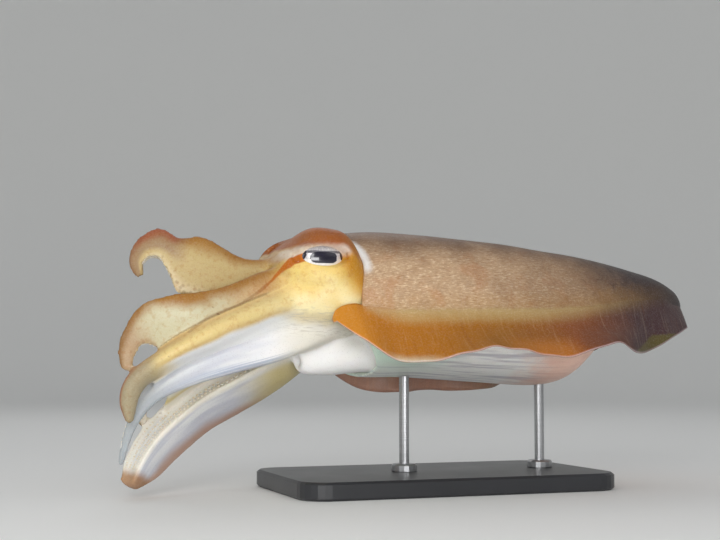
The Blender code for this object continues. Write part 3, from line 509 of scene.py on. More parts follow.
armShapes = {
    # path: places along the core; face: where the suckers look at the root, as (y, z);
    # keel, oral, breadth: reach away from the suckers, reach towards them and width, by share of the length;
    # twist: degrees that the sucker face turns upwards on its way to the tip
    "left1": {
        "pair": 1, "face": (0.15, -1),
        "path": (
            (-92, -10, 29), (-106, -12, 28), (-125, -15, 22), (-146, -19, 19), (-167, -21, 23),
            (-183, -20, 29), (-196, -17, 36), (-207, -14, 35), (-213, -12, 27), (-211, -12, 17),
        ),
        "keel": (
            (0, 8), (0.2, 8), (0.36, 10), (0.48, 14), (0.56, 17), (0.63, 17), (0.69, 12.5), (0.74, 9),
            (0.79, 12), (0.84, 9), (0.9, 6), (1, 3.5),
        ),
        "oral": (
            (0, 7), (0.2, 8), (0.36, 14), (0.5, 21), (0.58, 24), (0.64, 23), (0.7, 14), (0.76, 9.5),
            (0.84, 7.5), (0.92, 6), (1, 3),
        ),
        "breadth": ((0, 15), (0.4, 13), (0.75, 10), (1, 3.5)),
    },
    "left2": {
        "pair": 2, "face": (0.25, -1),
        "path": (
            (-88, -17, 24), (-103, -21, 19), (-131, -29, 7), (-155, -34, -6), (-177, -36, -14),
            (-195, -34, -17), (-208, -31, -18), (-217, -28, -25), (-221, -26, -35), (-222, -25, -46),
        ),
        "keel": ((0, 9), (0.3, 12), (0.5, 15), (0.68, 18), (0.77, 16), (0.86, 9), (0.93, 7), (1, 4.5)),
        "oral": (
            (0, 7), (0.4, 7), (0.55, 10), (0.66, 15), (0.75, 19), (0.8, 20), (0.84, 15), (0.87, 8),
            (0.9, 5.5), (1, 3),
        ),
        "breadth": ((0, 17), (0.4, 16), (0.75, 13), (1, 4)),
    },
    "left3": {
        "pair": 3, "face": (1, -0.1),
        "path": (
            (-84, -22, 6), (-99, -27, 1), (-136, -35, -11), (-164, -40, -23), (-187, -40, -34),
            (-206, -36, -45), (-218, -31, -55), (-222, -28, -66), (-221, -26, -79),
        ),
        "keel": ((0, 7), (0.15, 9), (0.3, 11), (0.6, 10), (0.8, 8), (1, 3)),
        "oral": ((0, 8), (0.5, 7), (0.8, 6), (1, 2.2)),
        "breadth": ((0, 18), (0.2, 21), (0.5, 19), (0.7, 13.5), (0.85, 13), (0.93, 11), (1, 5)),
    },
    "left4": {
        "pair": 4, "face": (0.75, 0.66),
        "path": (
            (-74, -15, -13), (-89, -18, -18), (-125, -23, -30), (-156, -25, -38), (-180, -23, -46),
            (-197, -20, -55), (-210, -17, -67), (-218, -15, -82), (-222, -13, -95), (-224, -10, -104),
        ),
        "keel": ((0, 10), (0.2, 15), (0.45, 17), (0.62, 14), (0.78, 7), (0.88, 3.6), (1, 2.4)),
        "oral": ((0, 9), (0.5, 9), (0.78, 6), (0.88, 3.4), (1, 2)),
        "breadth": ((0, 20), (0.3, 21), (0.6, 17), (0.78, 10), (0.88, 5.5), (1, 3)),
    },
    "right4": {
        "pair": 4, "face": (-0.78, 0.62), "twist": 20,
        "path": (
            (-74, 13, -17), (-90, 14, -24), (-119, 17, -39), (-144, 20, -52), (-165, 21, -63),
            (-182, 20, -76), (-196, 18, -89), (-207, 15, -103), (-214, 13, -117),
        ),
        "keel": ((0, 14), (0.12, 22), (0.25, 27), (0.5, 27), (0.75, 25), (0.87, 22), (0.94, 17), (1, 7)),
        "oral": ((0, 8), (0.15, 12), (0.4, 13), (0.6, 11), (0.85, 9), (1, 5)),
        "breadth": ((0, 19), (0.4, 21), (0.7, 19), (0.9, 16), (1, 11)),
    },
    "right1": {
        "pair": 1, "face": (-0.15, -1),
        "path": (
            (-92, 9, 25), (-104, 10, 25.5), (-126, 14, 22), (-148, 18, 15.5), (-164, 20, 7), (-177, 20, -4),
            (-187, 17, -15), (-189, 12, -26), (-183, 8, -33),
        ),
        "keel": ((0, 9), (0.3, 10), (0.5, 14), (0.7, 11), (0.85, 7), (1, 3)),
        "oral": ((0, 6), (0.5, 6), (0.8, 5), (1, 2.2)),
        "breadth": ((0, 15), (0.4, 13), (0.75, 10), (1, 3.5)),
    },
    "right2": {
        "pair": 2, "face": (-0.75, -0.66),
        "path": (
            (-88, 18, 26), (-102, 22, 22), (-130, 29, 7), (-154, 33, -8), (-174, 33, -23), (-189, 29, -36),
            (-194, 24, -48), (-189, 20, -57),
        ),
        "keel": ((0, 10), (0.3, 12), (0.5, 13), (0.75, 10), (0.9, 6), (1, 3)),
        "oral": ((0, 7), (0.5, 8), (0.8, 6), (1, 2.2)),
        "breadth": ((0, 17), (0.4, 15), (0.75, 12), (1, 4)),
    },
    "right3": {
        "pair": 3, "face": (-1, 0.1),
        "path": (
            (-84, 22, 5), (-98, 26, 0), (-129, 34, -15), (-155, 37, -30), (-177, 35, -43), (-193, 31, -53),
            (-203, 27, -64), (-204, 24, -74), (-199, 23, -79),
        ),
        "keel": ((0, 11), (0.3, 11), (0.6, 9), (0.8, 7), (1, 3)),
        "oral": ((0, 8), (0.5, 7), (0.8, 6), (1, 2.2)),
        "breadth": ((0, 20), (0.25, 19), (0.5, 16), (0.75, 12), (1, 4)),
    },
}
armSection = {
    # half of a section, as shares of the oral or keel reach and of half the breadth
    "oral": ((0.74, 0), (0.79, 0.4), (0.96, 0.8), (1.12, 0.98), (0.98, 1.08), (0.5, 1.06)),
    "keel": ((0.12, 0.98), (0.42, 0.8), (0.72, 0.52), (0.93, 0.24), (1, 0)),
    "rim": 1.12,  # the farthest share towards the suckers
    "knotSteps": 30,
    "samples": 240,
    "rings": 96,
}


def armLine(arm):
    # even samples of an arm's core: places, headings, sucker directions and the whole length
    knots = [Vector(point) for point in arm["path"]]
    dense = []
    for k in range(len(knots) - 1):
        a, b = knots[k], knots[k + 1]
        pullA = (b - knots[max(k - 1, 0)]) * 0.5
        pullB = (knots[min(k + 2, len(knots) - 1)] - a) * 0.5
        for step in range(armSection["knotSteps"]):
            t = step / armSection["knotSteps"]
            dense.append(
                a * (2 * t**3 - 3 * t**2 + 1) + pullA * (t**3 - 2 * t**2 + t)
                + b * (3 * t**2 - 2 * t**3) + pullB * (t**3 - t**2)
            )
    dense = np.array([*dense, knots[-1]])
    along = np.concatenate([(0.0,), np.cumsum(np.linalg.norm(np.diff(dense, axis=0), axis=1))])
    even = np.linspace(0, along[-1], armSection["samples"] + 1)
    places = placesOf(*(np.interp(even, along, dense[:, axis]) for axis in range(3)))
    headings = np.gradient(places, axis=0)
    headings /= np.linalg.norm(headings, axis=1)[:, None]
    face = np.array((0.0, *arm["face"]))
    faces = []
    for k, heading in enumerate(headings):
        face = face - heading * face.dot(heading)
        face = face / np.linalg.norm(face)
        turn = math.radians(arm.get("twist", 0)) * k / armSection["samples"]
        faces.append(face * math.cos(turn) + np.cross(heading, face) * math.sin(turn))
    return {"places": places, "headings": headings, "faces": np.array(faces), "length": along[-1]}


def buildArm(arm, line):
    shares = np.linspace(0, 1, armSection["rings"] + 1)
    index = np.round(shares * armSection["samples"]).astype(int)
    outline = [*armSection["oral"], *((-u, v) for u, v in armSection["keel"])]
    outline += [(u, -v) for u, v in reversed(outline[1:-1])]
    keel, oral, breadth = (curveThrough(arm[key], shares) for key in ("keel", "oral", "breadth"))
    sideways = np.cross(line["headings"], line["faces"])
    rings = []
    for u, v in outline:
        out = u * np.where(u > 0, oral, keel)
        core = line["places"][index] + line["faces"][index] * out[:, None]
        rings.append(core + sideways[index] * (0.5 * v * breadth)[:, None])
    return shell(np.stack(rings, axis=1), None, line["places"][-1] + line["headings"][-1] * 1.5)


webShape = {
    # each web's two ends as (arm, share of its reach to the suckers, share of half its breadth),
    # and how far along each arm it goes
    "webs": (
        (("left1", -0.5, -0.55), ("right1", -0.5, 0.55), 0.34, 0.34),
        (("left3", -0.35, 0.5), ("left4", -0.2, -0.6), 0.82, 0.76),
        (("left4", 0.3, 0.6), ("right4", 0.6, 0.85), 0.76, 0.72),
    ),
    "start": 0.04,
    "thickness": 3.0,
    "scallop": 0.1,
    "rows": 48,
    "columns": 9,
}


def webEdge(line, arm, end, shares):
    label, towards, sideways = end
    index = np.round(shares * armSection["samples"]).astype(int)
    reach = curveThrough(arm["oral" if towards > 0 else "keel"], shares) * towards
    half = 0.5 * curveThrough(arm["breadth"], shares) * sideways
    faces, headings = line["faces"][index], line["headings"][index]
    return line["places"][index] + faces * reach[:, None] + np.cross(headings, faces) * half[:, None]


def buildWeb(lines, ends, reaches):
    look = webShape
    along = np.linspace(0, 1, look["rows"])
    columns = []
    for across in np.linspace(0, 1, look["columns"]):
        held = along * (1 - look["scallop"] * 4 * across * (1 - across))
        a, b = (
            webEdge(lines[end[0]], armShapes[end[0]], end, look["start"] + (reach - look["start"]) * held)
            for end, reach in zip(ends, reaches)
        )
        columns.append(a + (b - a) * across)
    middle = np.stack(columns)
    lift = np.cross(np.gradient(middle, axis=0), np.gradient(middle, axis=1))
    lift /= np.linalg.norm(lift, axis=2)[:, :, None]
    half = 0.5 * look["thickness"]
    rings = np.concatenate([middle + lift * half, (middle - lift * half)[::-1]])
    return shell(rings.transpose(1, 0, 2))


# eyes and lids

eyeShape = {
    "centre": (-95.6, 39.0, 25.5),  # of the animal's right eye; the left one mirrors it
    "reach": (16.4, 9.6, 11.4),
    "opening": (15.2, 7.2),
    "openingX": -95.8,
    "segments": 96,
    "ballSides": 64,
    "ballRings": 40,
    # the lid's profile from the eyeball outwards: share of the opening, rise,
    # and from 0 over the eyeball to 1 over the head
    "lid": (
        (0.86, -1.2, 0), (0.92, 0.1, 0), (0.96, 0.7, 0), (1, 1.1, 0.15), (1.06, 1.35, 0.5), (1.14, 1.3, 0.85),
        (1.24, 1.1, 1), (1.38, 0.8, 1), (1.54, 0.45, 1), (1.72, 0.18, 1), (1.92, 0.02, 1), (2.15, -0.1, 1),
        (2.4, -0.7, 1),
    ),
    "dent": 8.5,
}


def eyePlace(x, z):
    # a side view's point from the eye's middle, as shares of its opening
    length, height = eyeShape["opening"]
    return (x - eyeShape["openingX"]) / length, (z - eyeShape["centre"][2]) / height


def eyeRadius(x, z):
    return np.hypot(*eyePlace(x, z))


def eyeballDepth(x, z):
    # half width of the eyeball's surface at a side view's point
    cx, cy, cz = eyeShape["centre"]
    rx, ry, rz = eyeShape["reach"]
    inside = 1 - ((x - cx) / rx) ** 2 - ((z - cz) / rz) ** 2
    return np.where(inside > 0, cy + ry * np.sqrt(np.maximum(inside, 0.0)), 0.0)


def buildLids(sign, skinTree):
    look = eyeShape
    cx, cz = look["openingX"], look["centre"][2]
    length, height = look["opening"]
    angles = turnsOf(look["segments"])
    rings, lifts = [], []
    for reach, rise, blend in look["lid"]:
        x = cx + np.cos(angles) * length * (reach if reach < 1 else 1 + (reach - 1) * 0.8)
        z = cz + np.sin(angles) * height * (reach if reach < 1 else 1 + (reach - 1) * 1.5)
        inner = placesOf(x, sign * eyeballDepth(x, z), z)
        outer, lift = inner.copy(), np.zeros_like(inner)
        lift[:, 1] = sign
        for k in range(len(x)):
            hit, normal, _, _ = skinTree.ray_cast(Vector((x[k], sign * 200, z[k])), Vector((0, -sign, 0)))
            if hit is not None:
                outer[k] = hit
                lift[k] = (1 - blend) * lift[k] + blend * np.array(normal)
        ring = inner + (outer - inner) * blend + lift * rise
        if reach > 0.99:
            ring[:, 1] = sign * np.maximum(sign * ring[:, 1], sign * inner[:, 1] + 0.7)
        rings.append(ring)
        lifts.append(lift)
    rings = np.stack(rings)
    back = (rings - np.stack(lifts) * 1.6)[::-1]
    shape = shell(np.concatenate([rings, back]))
    ring = len(angles)
    keep = len(look["lid"]) * 2
    faces = [face for face in shape["faces"] if len(face) == 4]
    last = (keep - 1) * ring
    faces += [[last + k, last + (k + 1) % ring, (k + 1) % ring, k] for k in range(ring)]
    return {"points": shape["points"][: keep * ring], "faces": faces}


def buildEyeball(sign):
    look = eyeShape
    cx, cy, cz = look["centre"]
    rx, ry, rz = look["reach"]
    angles = turnsOf(look["ballSides"])
    rings = []
    for turn in np.linspace(0.04, math.pi - 0.04, look["ballRings"]):
        x = cx + rx * np.cos(angles) * math.sin(turn)
        z = cz + rz * np.sin(angles) * math.sin(turn)
        rings.append(placesOf(x, cy + ry * math.cos(turn), z))
    shape = shell(rings, (cx, cy + ry, cz), (cx, cy - ry, cz))
    if sign < 0:
        shape["points"] = shape["points"] * (1, -1, 1)
        shape["faces"] = [face[::-1] for face in shape["faces"]]
    return shape


# mouth

mouthShape = {
    "centre": (-131, 0, -4),
    "tilt": 18,
    "lips": (
        (2.8, -6.0), (3.0, -2.0), (3.2, 0.8), (3.9, 2.2), (4.8, 2.8), (5.9, 2.8), (6.8, 2.2), (7.4, 0.8),
        (7.8, -0.3), (8.6, 0.4), (9.8, 0.6), (10.8, -0.6), (11.2, -2.2), (11.0, -12.0),
    ),
    "pleats": 22,
    "beak": ((0.5, 0.7), (1.2, -0.4), (1.9, -1.8), (2.4, -3.6), (2.7, -5.7)),
}


def crownPlace(points):
    tilt = math.radians(mouthShape["tilt"])
    x, y, z = points[:, 0], points[:, 1], points[:, 2]
    turned = placesOf(math.cos(tilt) * x - math.sin(tilt) * z, y, math.sin(tilt) * x + math.cos(tilt) * z)
    return turned + mouthShape["centre"]


def buildLips():
    look = mouthShape
    angles = turnsOf(88)
    rings = []
    for radius, height in look["lips"]:
        fold = 1 + 0.045 * np.cos(angles * look["pleats"]) * (1 if radius > 6 else 0.5) * (radius > 3)
        lift = height + 0.25 * np.cos(angles * look["pleats"]) * (radius > 3)
        rings.append(placesOf(-lift, radius * fold * np.cos(angles), radius * fold * np.sin(angles)))
    shape = shell(rings, (6.0, 0, 0), (12.0, 0, 0))
    shape["points"] = crownPlace(shape["points"])
    return shape


def buildBeak():
    angles = turnsOf(32)
    rings = []
    for radius, height in mouthShape["beak"]:
        squeeze = 1 - 0.35 * np.abs(np.sin(angles)) ** 6  # the bite between the two halves
        rings.append(placesOf(-height, radius * squeeze * np.sin(angles), radius * np.cos(angles)))
    shape = shell(rings, (-0.8, 0, 0), (5.7, 0, 0))
    shape["points"] = crownPlace(shape["points"])
    return shape


# one skin over head, neck, funnel and arms

skinBuild = {
    "voxel": 1.45,
    "smooth": 5,
    "bulkSmooth": 10,
    "webSmooth": 26,
    "bulk": (7, 13),  # thickness in mm from which an arm is smoothed more
    "webFront": -150,
    "webRear": (-88, -80),
    "webAlong": (0.16, 0.34),  # shares of an arm's length over which its root's smoothing fades
    "borderBlend": 0.07,
    # the groove between the second and third arms, from the eye's front corner, as (x, z) in side view
    "streak": (
        (-109, 24.5), (-115, 23.5), (-121, 18.5), (-128, 11), (-138, 2.5), (-152, -7), (-172, -15),
        (-186, -25),
    ),
}


def armMarks(points, lines):
    # soft shares of each point's nearest arms, with the place along them and across them
    apart, marks = [], {name: [] for name in ("along", "oralSide", "across", "bulk", "whiteSide")}
    for label, arm in armShapes.items():
        line = lines[label]
        tree = KDTree(len(line["places"]))
        for k, place in enumerate(line["places"]):
            tree.insert(place, k)
        tree.balance()
        near = np.array([tree.find(point)[1] for point in points])
        along = near / armSection["samples"]
        keel, oral, breadth = (curveThrough(arm[key], along) for key in ("keel", "oral", "breadth"))
        off = points - line["places"][near]
        faces, headings = line["faces"][near], line["headings"][near]
        u = np.einsum("ij,ij->i", off, faces)
        v = np.einsum("ij,ij->i", off, np.cross(headings, faces)) / (0.54 * breadth)
        w = np.einsum("ij,ij->i", off, headings)
        u = np.where(u > 0, u / (armSection["rim"] * oral), u / keel)
        apart.append(np.sqrt(u**2 + v**2 + (w / 6) ** 2))
        white = smoothStep(0, 1, v) if label == "left3" else np.full(len(v), float(arm["pair"] == 4))
        bulk = np.minimum(keel + oral, breadth)
        for name, values in zip(marks, (along, u, v, bulk, white)):
            marks[name].append(values)
    apart = np.stack(apart)
    nearest = np.sort(apart, axis=0)
    share = np.exp((nearest[0] - apart) / skinBuild["borderBlend"])
    share /= share.sum(axis=0)
    marks = {name: (np.stack(values) * share).sum(axis=0) for name, values in marks.items()}
    marks["apart"] = nearest[0]
    marks["crease"] = 1 - smoothStep(0.0, 0.4, nearest[1] - nearest[0])
    pairs = [arm["pair"] for arm in armShapes.values()]
    for number in (1, 2, 3, 4):
        marks[f"pair{number}"] = sum(part for part, pair in zip(share, pairs) if pair == number)
    marks["rightArm"] = sum(part for part, label in zip(share, armShapes) if label.startswith("right"))
    return marks


def lineDistance(x, z, line):
    best = np.full(len(x), 1e9)
    for (ax, az), (bx, bz) in zip(line, line[1:]):
        dx, dz = bx - ax, bz - az
        t = np.clip(((x - ax) * dx + (z - az) * dz) / (dx * dx + dz * dz), 0, 1)
        best = np.minimum(best, np.hypot(x - ax - t * dx, z - az - t * dz))
    return best


def buildSoftBody(lines):
    look = skinBuild
    solids = [buildHead(), buildNeck(), buildFunnel()]
    solids += [buildArm(arm, lines[label]) for label, arm in armShapes.items()]
    solids += [buildWeb(lines, (a, b), reaches) for a, b, *reaches in webShape["webs"]]
    rough = objectOf("softBody", meshOf("softBody", joined(solids), None))
    remesh = rough.modifiers.new("oneSkin", "REMESH")
    remesh.mode = "VOXEL"
    remesh.voxel_size = look["voxel"]
    mesh = bakedMesh(rough)
    bpy.data.objects.remove(rough)
    points = pointsOf(mesh)
    edges = np.empty(len(mesh.edges) * 2, np.int32)
    mesh.edges.foreach_get("vertices", edges)
    edges = edges.reshape(-1, 2)
    faces = [list(face.vertices) for face in mesh.polygons]
    print("soft body", len(points), "points")
    points = relaxed(points, edges, 0.5, look["smooth"], 1.04)
    marks = armMarks(points, lines)
    points = relaxed(points, edges, 0.5 * smoothStep(*look["bulk"], marks["bulk"]), look["bulkSmooth"])
    web = np.where(points[:, 0] > look["webFront"], 1 - smoothStep(*look["webAlong"], marks["along"]), 0)
    web *= 1 - smoothStep(*look["webRear"], points[:, 0])
    points = relaxed(points, edges, 0.5 * web, look["webSmooth"])
    ring = eyeRadius(points[:, 0], points[:, 2])
    deep = (np.abs(points[:, 1]) > 26) & (ring < 1.5)
    dent = np.where(deep, eyeShape["dent"] * (1 - smoothStep(1.0, 1.24, ring)), 0.0)
    tree = BVHTree.FromPolygons(points.tolist(), faces)
    lids = [buildLids(sign, tree) for sign in (-1, 1)]
    points[:, 1] -= np.sign(points[:, 1]) * dent
    shape = {"points": points, "faces": faces}
    return shape, lids


def markSoftBody(shape, lines):
    points = shape["points"]
    marks = armMarks(points, lines)
    arm = smoothStep(-106, -136, points[:, 0]) * (1 - smoothStep(1.25, 1.6, marks.pop("apart")))
    rear, mouth = np.array(funnelShape["rear"], float), np.array(funnelShape["mouth"], float)
    axis = (mouth - rear) / np.linalg.norm(mouth - rear)
    off = points - rear
    t = off @ axis
    radial = np.linalg.norm(off - np.outer(t, axis), axis=1)
    length = np.linalg.norm(mouth - rear)
    radius = curveThrough(funnelShape["radii"], t / length)
    onFunnel = (1 - smoothStep(1.1, 1.35, radial / radius)) * smoothStep(-6, 4, t)
    onFunnel *= 1 - smoothStep(length + 1, length + 4, t)
    onFunnel *= 1 - arm
    streak = lineDistance(points[:, 0], points[:, 2], skinBuild["streak"])
    streak = np.where(np.abs(points[:, 1]) > 24, streak, 99.0)
    marks.update({"onArm": arm, "onFunnel": onFunnel, "streak": streak})
    marks.pop("bulk")
    shape["marks"] = marks
    return shape


lines = {label: armLine(arm) for label, arm in armShapes.items()}
softBody, lidShapes = buildSoftBody(lines)
markSoftBody(softBody, lines)
for lid in lidShapes:
    markSoftBody(lid, lines)
lips = buildLips()
lips["marks"] = {"onLips": np.ones(len(lips["points"])), "streak": np.full(len(lips["points"]), 99.0)}
whole = joined([softBody, *lidShapes, lips, buildMantle(), buildFin("left"), buildFin("right")])
skin = objectOf("cuttlefish_skin", meshOf("cuttlefish_skin", whole))
skinTriangles = sum(len(face) - 2 for face in whole["faces"])
print("skin", skinTriangles, "triangles")


# suckers

suckerShape = {
    "rows": (-0.62, -0.22, 0.22, 0.62),  # places across the sucker face, as shares of half the breadth
    "first": 0.07,
    "last": 0.95,
    "rootRadius": 2.0,
    "tipRadius": 0.6,
    "pitch": 2.35,  # spacing along a row, in radii
    "above": 2.0,  # how far over the sucker face the search for the skin starts
    "facing": 0.35,  # least turn of the skin towards that side
    "free": 3.0,  # room that a cup needs over itself
    "edgeSize": 0.86,
    # the cup's profile as (radius, height), in radii
    "profile": ((0.62, -0.6), (0.72, 0.15), (1.0, 0.5), (1.0, 0.82), (0.72, 0.86), (0.5, 0.55)),
    "sides": 9,
    "seed": 4,
}


def suckerRails(lines, skinTree):
    # places and directions of the suckers on the arms' inner faces, as loose points with attributes
    look = suckerShape
    places, lifts, sizes = [], [], []
    for label, arm in armShapes.items():
        line = lines[label]
        share, step = look["first"], 0
        while share < look["last"]:
            radius = look["rootRadius"] + (look["tipRadius"] - look["rootRadius"]) * share**1.3
            index = min(int(round(share * armSection["samples"])), armSection["samples"])
            oral, breadth = (float(curveThrough(arm[key], share)) for key in ("oral", "breadth"))
            face, heading = line["faces"][index], line["headings"][index]
            across = np.cross(heading, face)
            for row, offset in enumerate(look["rows"]):
                if row % 2 != step % 2:
                    continue
                middle = line["places"][index] + across * (0.5 * breadth * offset)
                start = Vector(middle + face * (oral * armSection["rim"] + look["above"]))
                hit, normal, _, far = skinTree.ray_cast(start, Vector(-face), oral * 1.6 + 2 * look["above"])
                if hit is None or normal.dot(Vector(face)) < look["facing"] or far < 0.2 * look["above"]:
                    continue
                if skinTree.ray_cast(start, Vector(face), look["free"])[0] is not None:
                    continue
                places.append(hit)
                lifts.append((normal + Vector(face)).normalized())
                sizes.append(radius * (look["edgeSize"] if abs(offset) > 0.5 else 1.0))
            share += 0.5 * look["pitch"] * radius / line["length"]
            step += 1
    return places, lifts, sizes


def cupMesh():
    look = suckerShape
    angles = turnsOf(look["sides"])
    c, s = np.cos(angles), np.sin(angles)
    rings = [placesOf(radius * c, radius * s, height) for radius, height in look["profile"]]
    shape = shell(rings, None, (0, 0, 0.3))
    depth = np.concatenate([np.repeat([0, 0, 0, 0.25, 0.7, 1.0], len(angles)), (0.0, 1.0)])
    shape["marks"] = {"cupDepth": depth}
    return meshOf("cup", shape, None)


def suckerTree(cup, material):
    tree = bpy.data.node_groups.new("suckersOnArms", "GeometryNodeTree")
    tree.interface.new_socket("Geometry", in_out="INPUT", socket_type="NodeSocketGeometry")
    size = tree.interface.new_socket("Cup Size", in_out="INPUT", socket_type="NodeSocketFloat")
    size.default_value = 1.0
    tree.interface.new_socket("Size Variation", in_out="INPUT", socket_type="NodeSocketFloat")
    tree.interface.new_socket("Seed", in_out="INPUT", socket_type="NodeSocketInt")
    tree.interface.new_socket("Geometry", in_out="OUTPUT", socket_type="NodeSocketGeometry")

    def node(kind, settings=None, inputs=None, output=0):
        return addNode(tree, kind, settings, inputs).outputs[output]

    start = tree.nodes.new("NodeGroupInput").outputs
    named = "GeometryNodeInputNamedAttribute"
    lift = node(named, {"data_type": "FLOAT_VECTOR"}, {"Name": "lift"}, "Attribute")
    radius = node(named, {"data_type": "FLOAT"}, {"Name": "cupRadius"}, "Attribute")
    turn = node("FunctionNodeAlignRotationToVector", {"axis": "Z"}, {"Vector": lift})
    vary = node("FunctionNodeRandomValue", {"data_type": "FLOAT"}, {"Seed": start["Seed"]}, 1)
    lean = node("ShaderNodeMath", {"operation": "MULTIPLY_ADD"}, {0: vary, 1: start["Size Variation"], 2: 1})
    sized = node("ShaderNodeMath", {"operation": "MULTIPLY"}, {0: radius, 1: lean})
    scaled = node("ShaderNodeMath", {"operation": "MULTIPLY"}, {0: sized, 1: start["Cup Size"]})
    shape = node("GeometryNodeObjectInfo", None, {"Object": cup}, "Geometry")
    dots = node("GeometryNodeMeshToPoints", None, {"Mesh": start["Geometry"]})
    placed = {"Points": dots, "Instance": shape, "Rotation": turn, "Scale": scaled}
    cups = node("GeometryNodeInstanceOnPoints", None, placed)
    real = node("GeometryNodeRealizeInstances", None, {"Geometry": cups})
    painted = node("GeometryNodeSetMaterial", None, {"Geometry": real, "Material": material})
    addNode(tree, "NodeGroupOutput", None, {"Geometry": painted})
    return tree


def buildSuckers(lines, material):
    look = suckerShape
    skinTree = BVHTree.FromPolygons(softBody["points"].tolist(), softBody["faces"])
    places, lifts, sizes = suckerRails(lines, skinTree)
    mesh = bpy.data.meshes.new("suckerPlaces")
    mesh.from_pydata([tuple(place) for place in places], [], [])
    layer = mesh.attributes.new("lift", "FLOAT_VECTOR", "POINT")
    layer.data.foreach_set("vector", np.array([tuple(lift) for lift in lifts], np.float32).ravel())
    layer = mesh.attributes.new("cupRadius", "FLOAT", "POINT")
    layer.data.foreach_set("value", np.array(sizes, np.float32))
    rail = objectOf("suckerPlaces", mesh)
    cup = objectOf("cup", cupMesh())
    tree = suckerTree(cup, material)
    modifier = rail.modifiers.new("suckers", "NODES")
    modifier.node_group = tree
    sockets = {item.name: item.identifier for item in tree.interface.items_tree if item.in_out == "INPUT"}
    modifier[sockets["Cup Size"]] = 1.0
    modifier[sockets["Size Variation"]] = -0.22
    modifier[sockets["Seed"]] = look["seed"]
    made = bakedMesh(rail)
    made.transform(bodyToWorld)
    made.shade_smooth()
    bpy.data.objects.remove(rail)
    bpy.data.objects.remove(cup)
    print("suckers", len(places), "cups,", sum(len(face.vertices) - 2 for face in made.polygons), "triangles")
    return objectOf("suckers", made)


# materials

skinTones = {
    "sand": "B69674", "sandPale": "E8D2B2", "sandBrown": "8E6A4A", "umber": "56361F", "mauve": "281C20",
    "ochre": "A97C34", "finLine": "B8A66C", "belly": "F4F3EF", "bellyGreen": "DAF2DF",
    "bellyLilac": "B4AFB8", "bellyPink": "F0BCA4", "finFront": "AA6804", "finMiddle": "925C0C",
    "finRear": "7E4418", "finTail": "40282A", "finEdge": "C9B4B8", "finGlow": "C8781C",
    "finUnder": "A9806E", "olive": "574E20", "cheek": "F0E2B0", "fold": "D0C09A", "cheekDeep": "E6C672",
    "rust": "9A5218", "rim": "BC7E06", "silver": "CDBFB6", "orange": "B86200", "white": "FAF8F6",
    "armWhite": "E6E6E5", "lilac": "BDBECB", "rose": "BE9074", "armOchre": "9C6C2A", "armCream": "BDA672",
    "armPink": "8A6850", "armRust": "9A5232", "armYellow": "DEC686", "armPeach": "BE9562",
    "armBlue": "C6BF9E", "armGreen": "A6987A", "armBrown": "704A1E", "armTan": "8E683C",
    "suckerEdge": "F2EBDA", "fleck": "5A3216", "tip": "A06C2E", "rootOlive": "D8C47E",
    "stripeBlue": "9AA5B8",
}


def tone(code):
    # a colour, by its name above or in hex, as linear light
    code = skinTones.get(code, code)
    values = [int(code[k:k + 2], 16) / 255 for k in (0, 2, 4)]
    return (*(v / 12.92 if v <= 0.04045 else ((v + 0.055) / 1.055) ** 2.4 for v in values), 1.0)


def mathSign(operation, turned=False):
    # what an operator does between a wire and another wire or a number
    def work(wire, other):
        return wire.sheet.math(operation, *((other, wire) if turned else (wire, other)))
    return work


class Wire:
    # a socket in a material, with + - * / ** as Math nodes
    def __init__(self, sheet, socket):
        self.sheet, self.socket = sheet, socket

    __add__, __radd__ = mathSign("ADD"), mathSign("ADD", True)
    __sub__, __rsub__ = mathSign("SUBTRACT"), mathSign("SUBTRACT", True)
    __mul__, __rmul__ = mathSign("MULTIPLY"), mathSign("MULTIPLY", True)
    __truediv__, __pow__ = mathSign("DIVIDE"), mathSign("POWER")


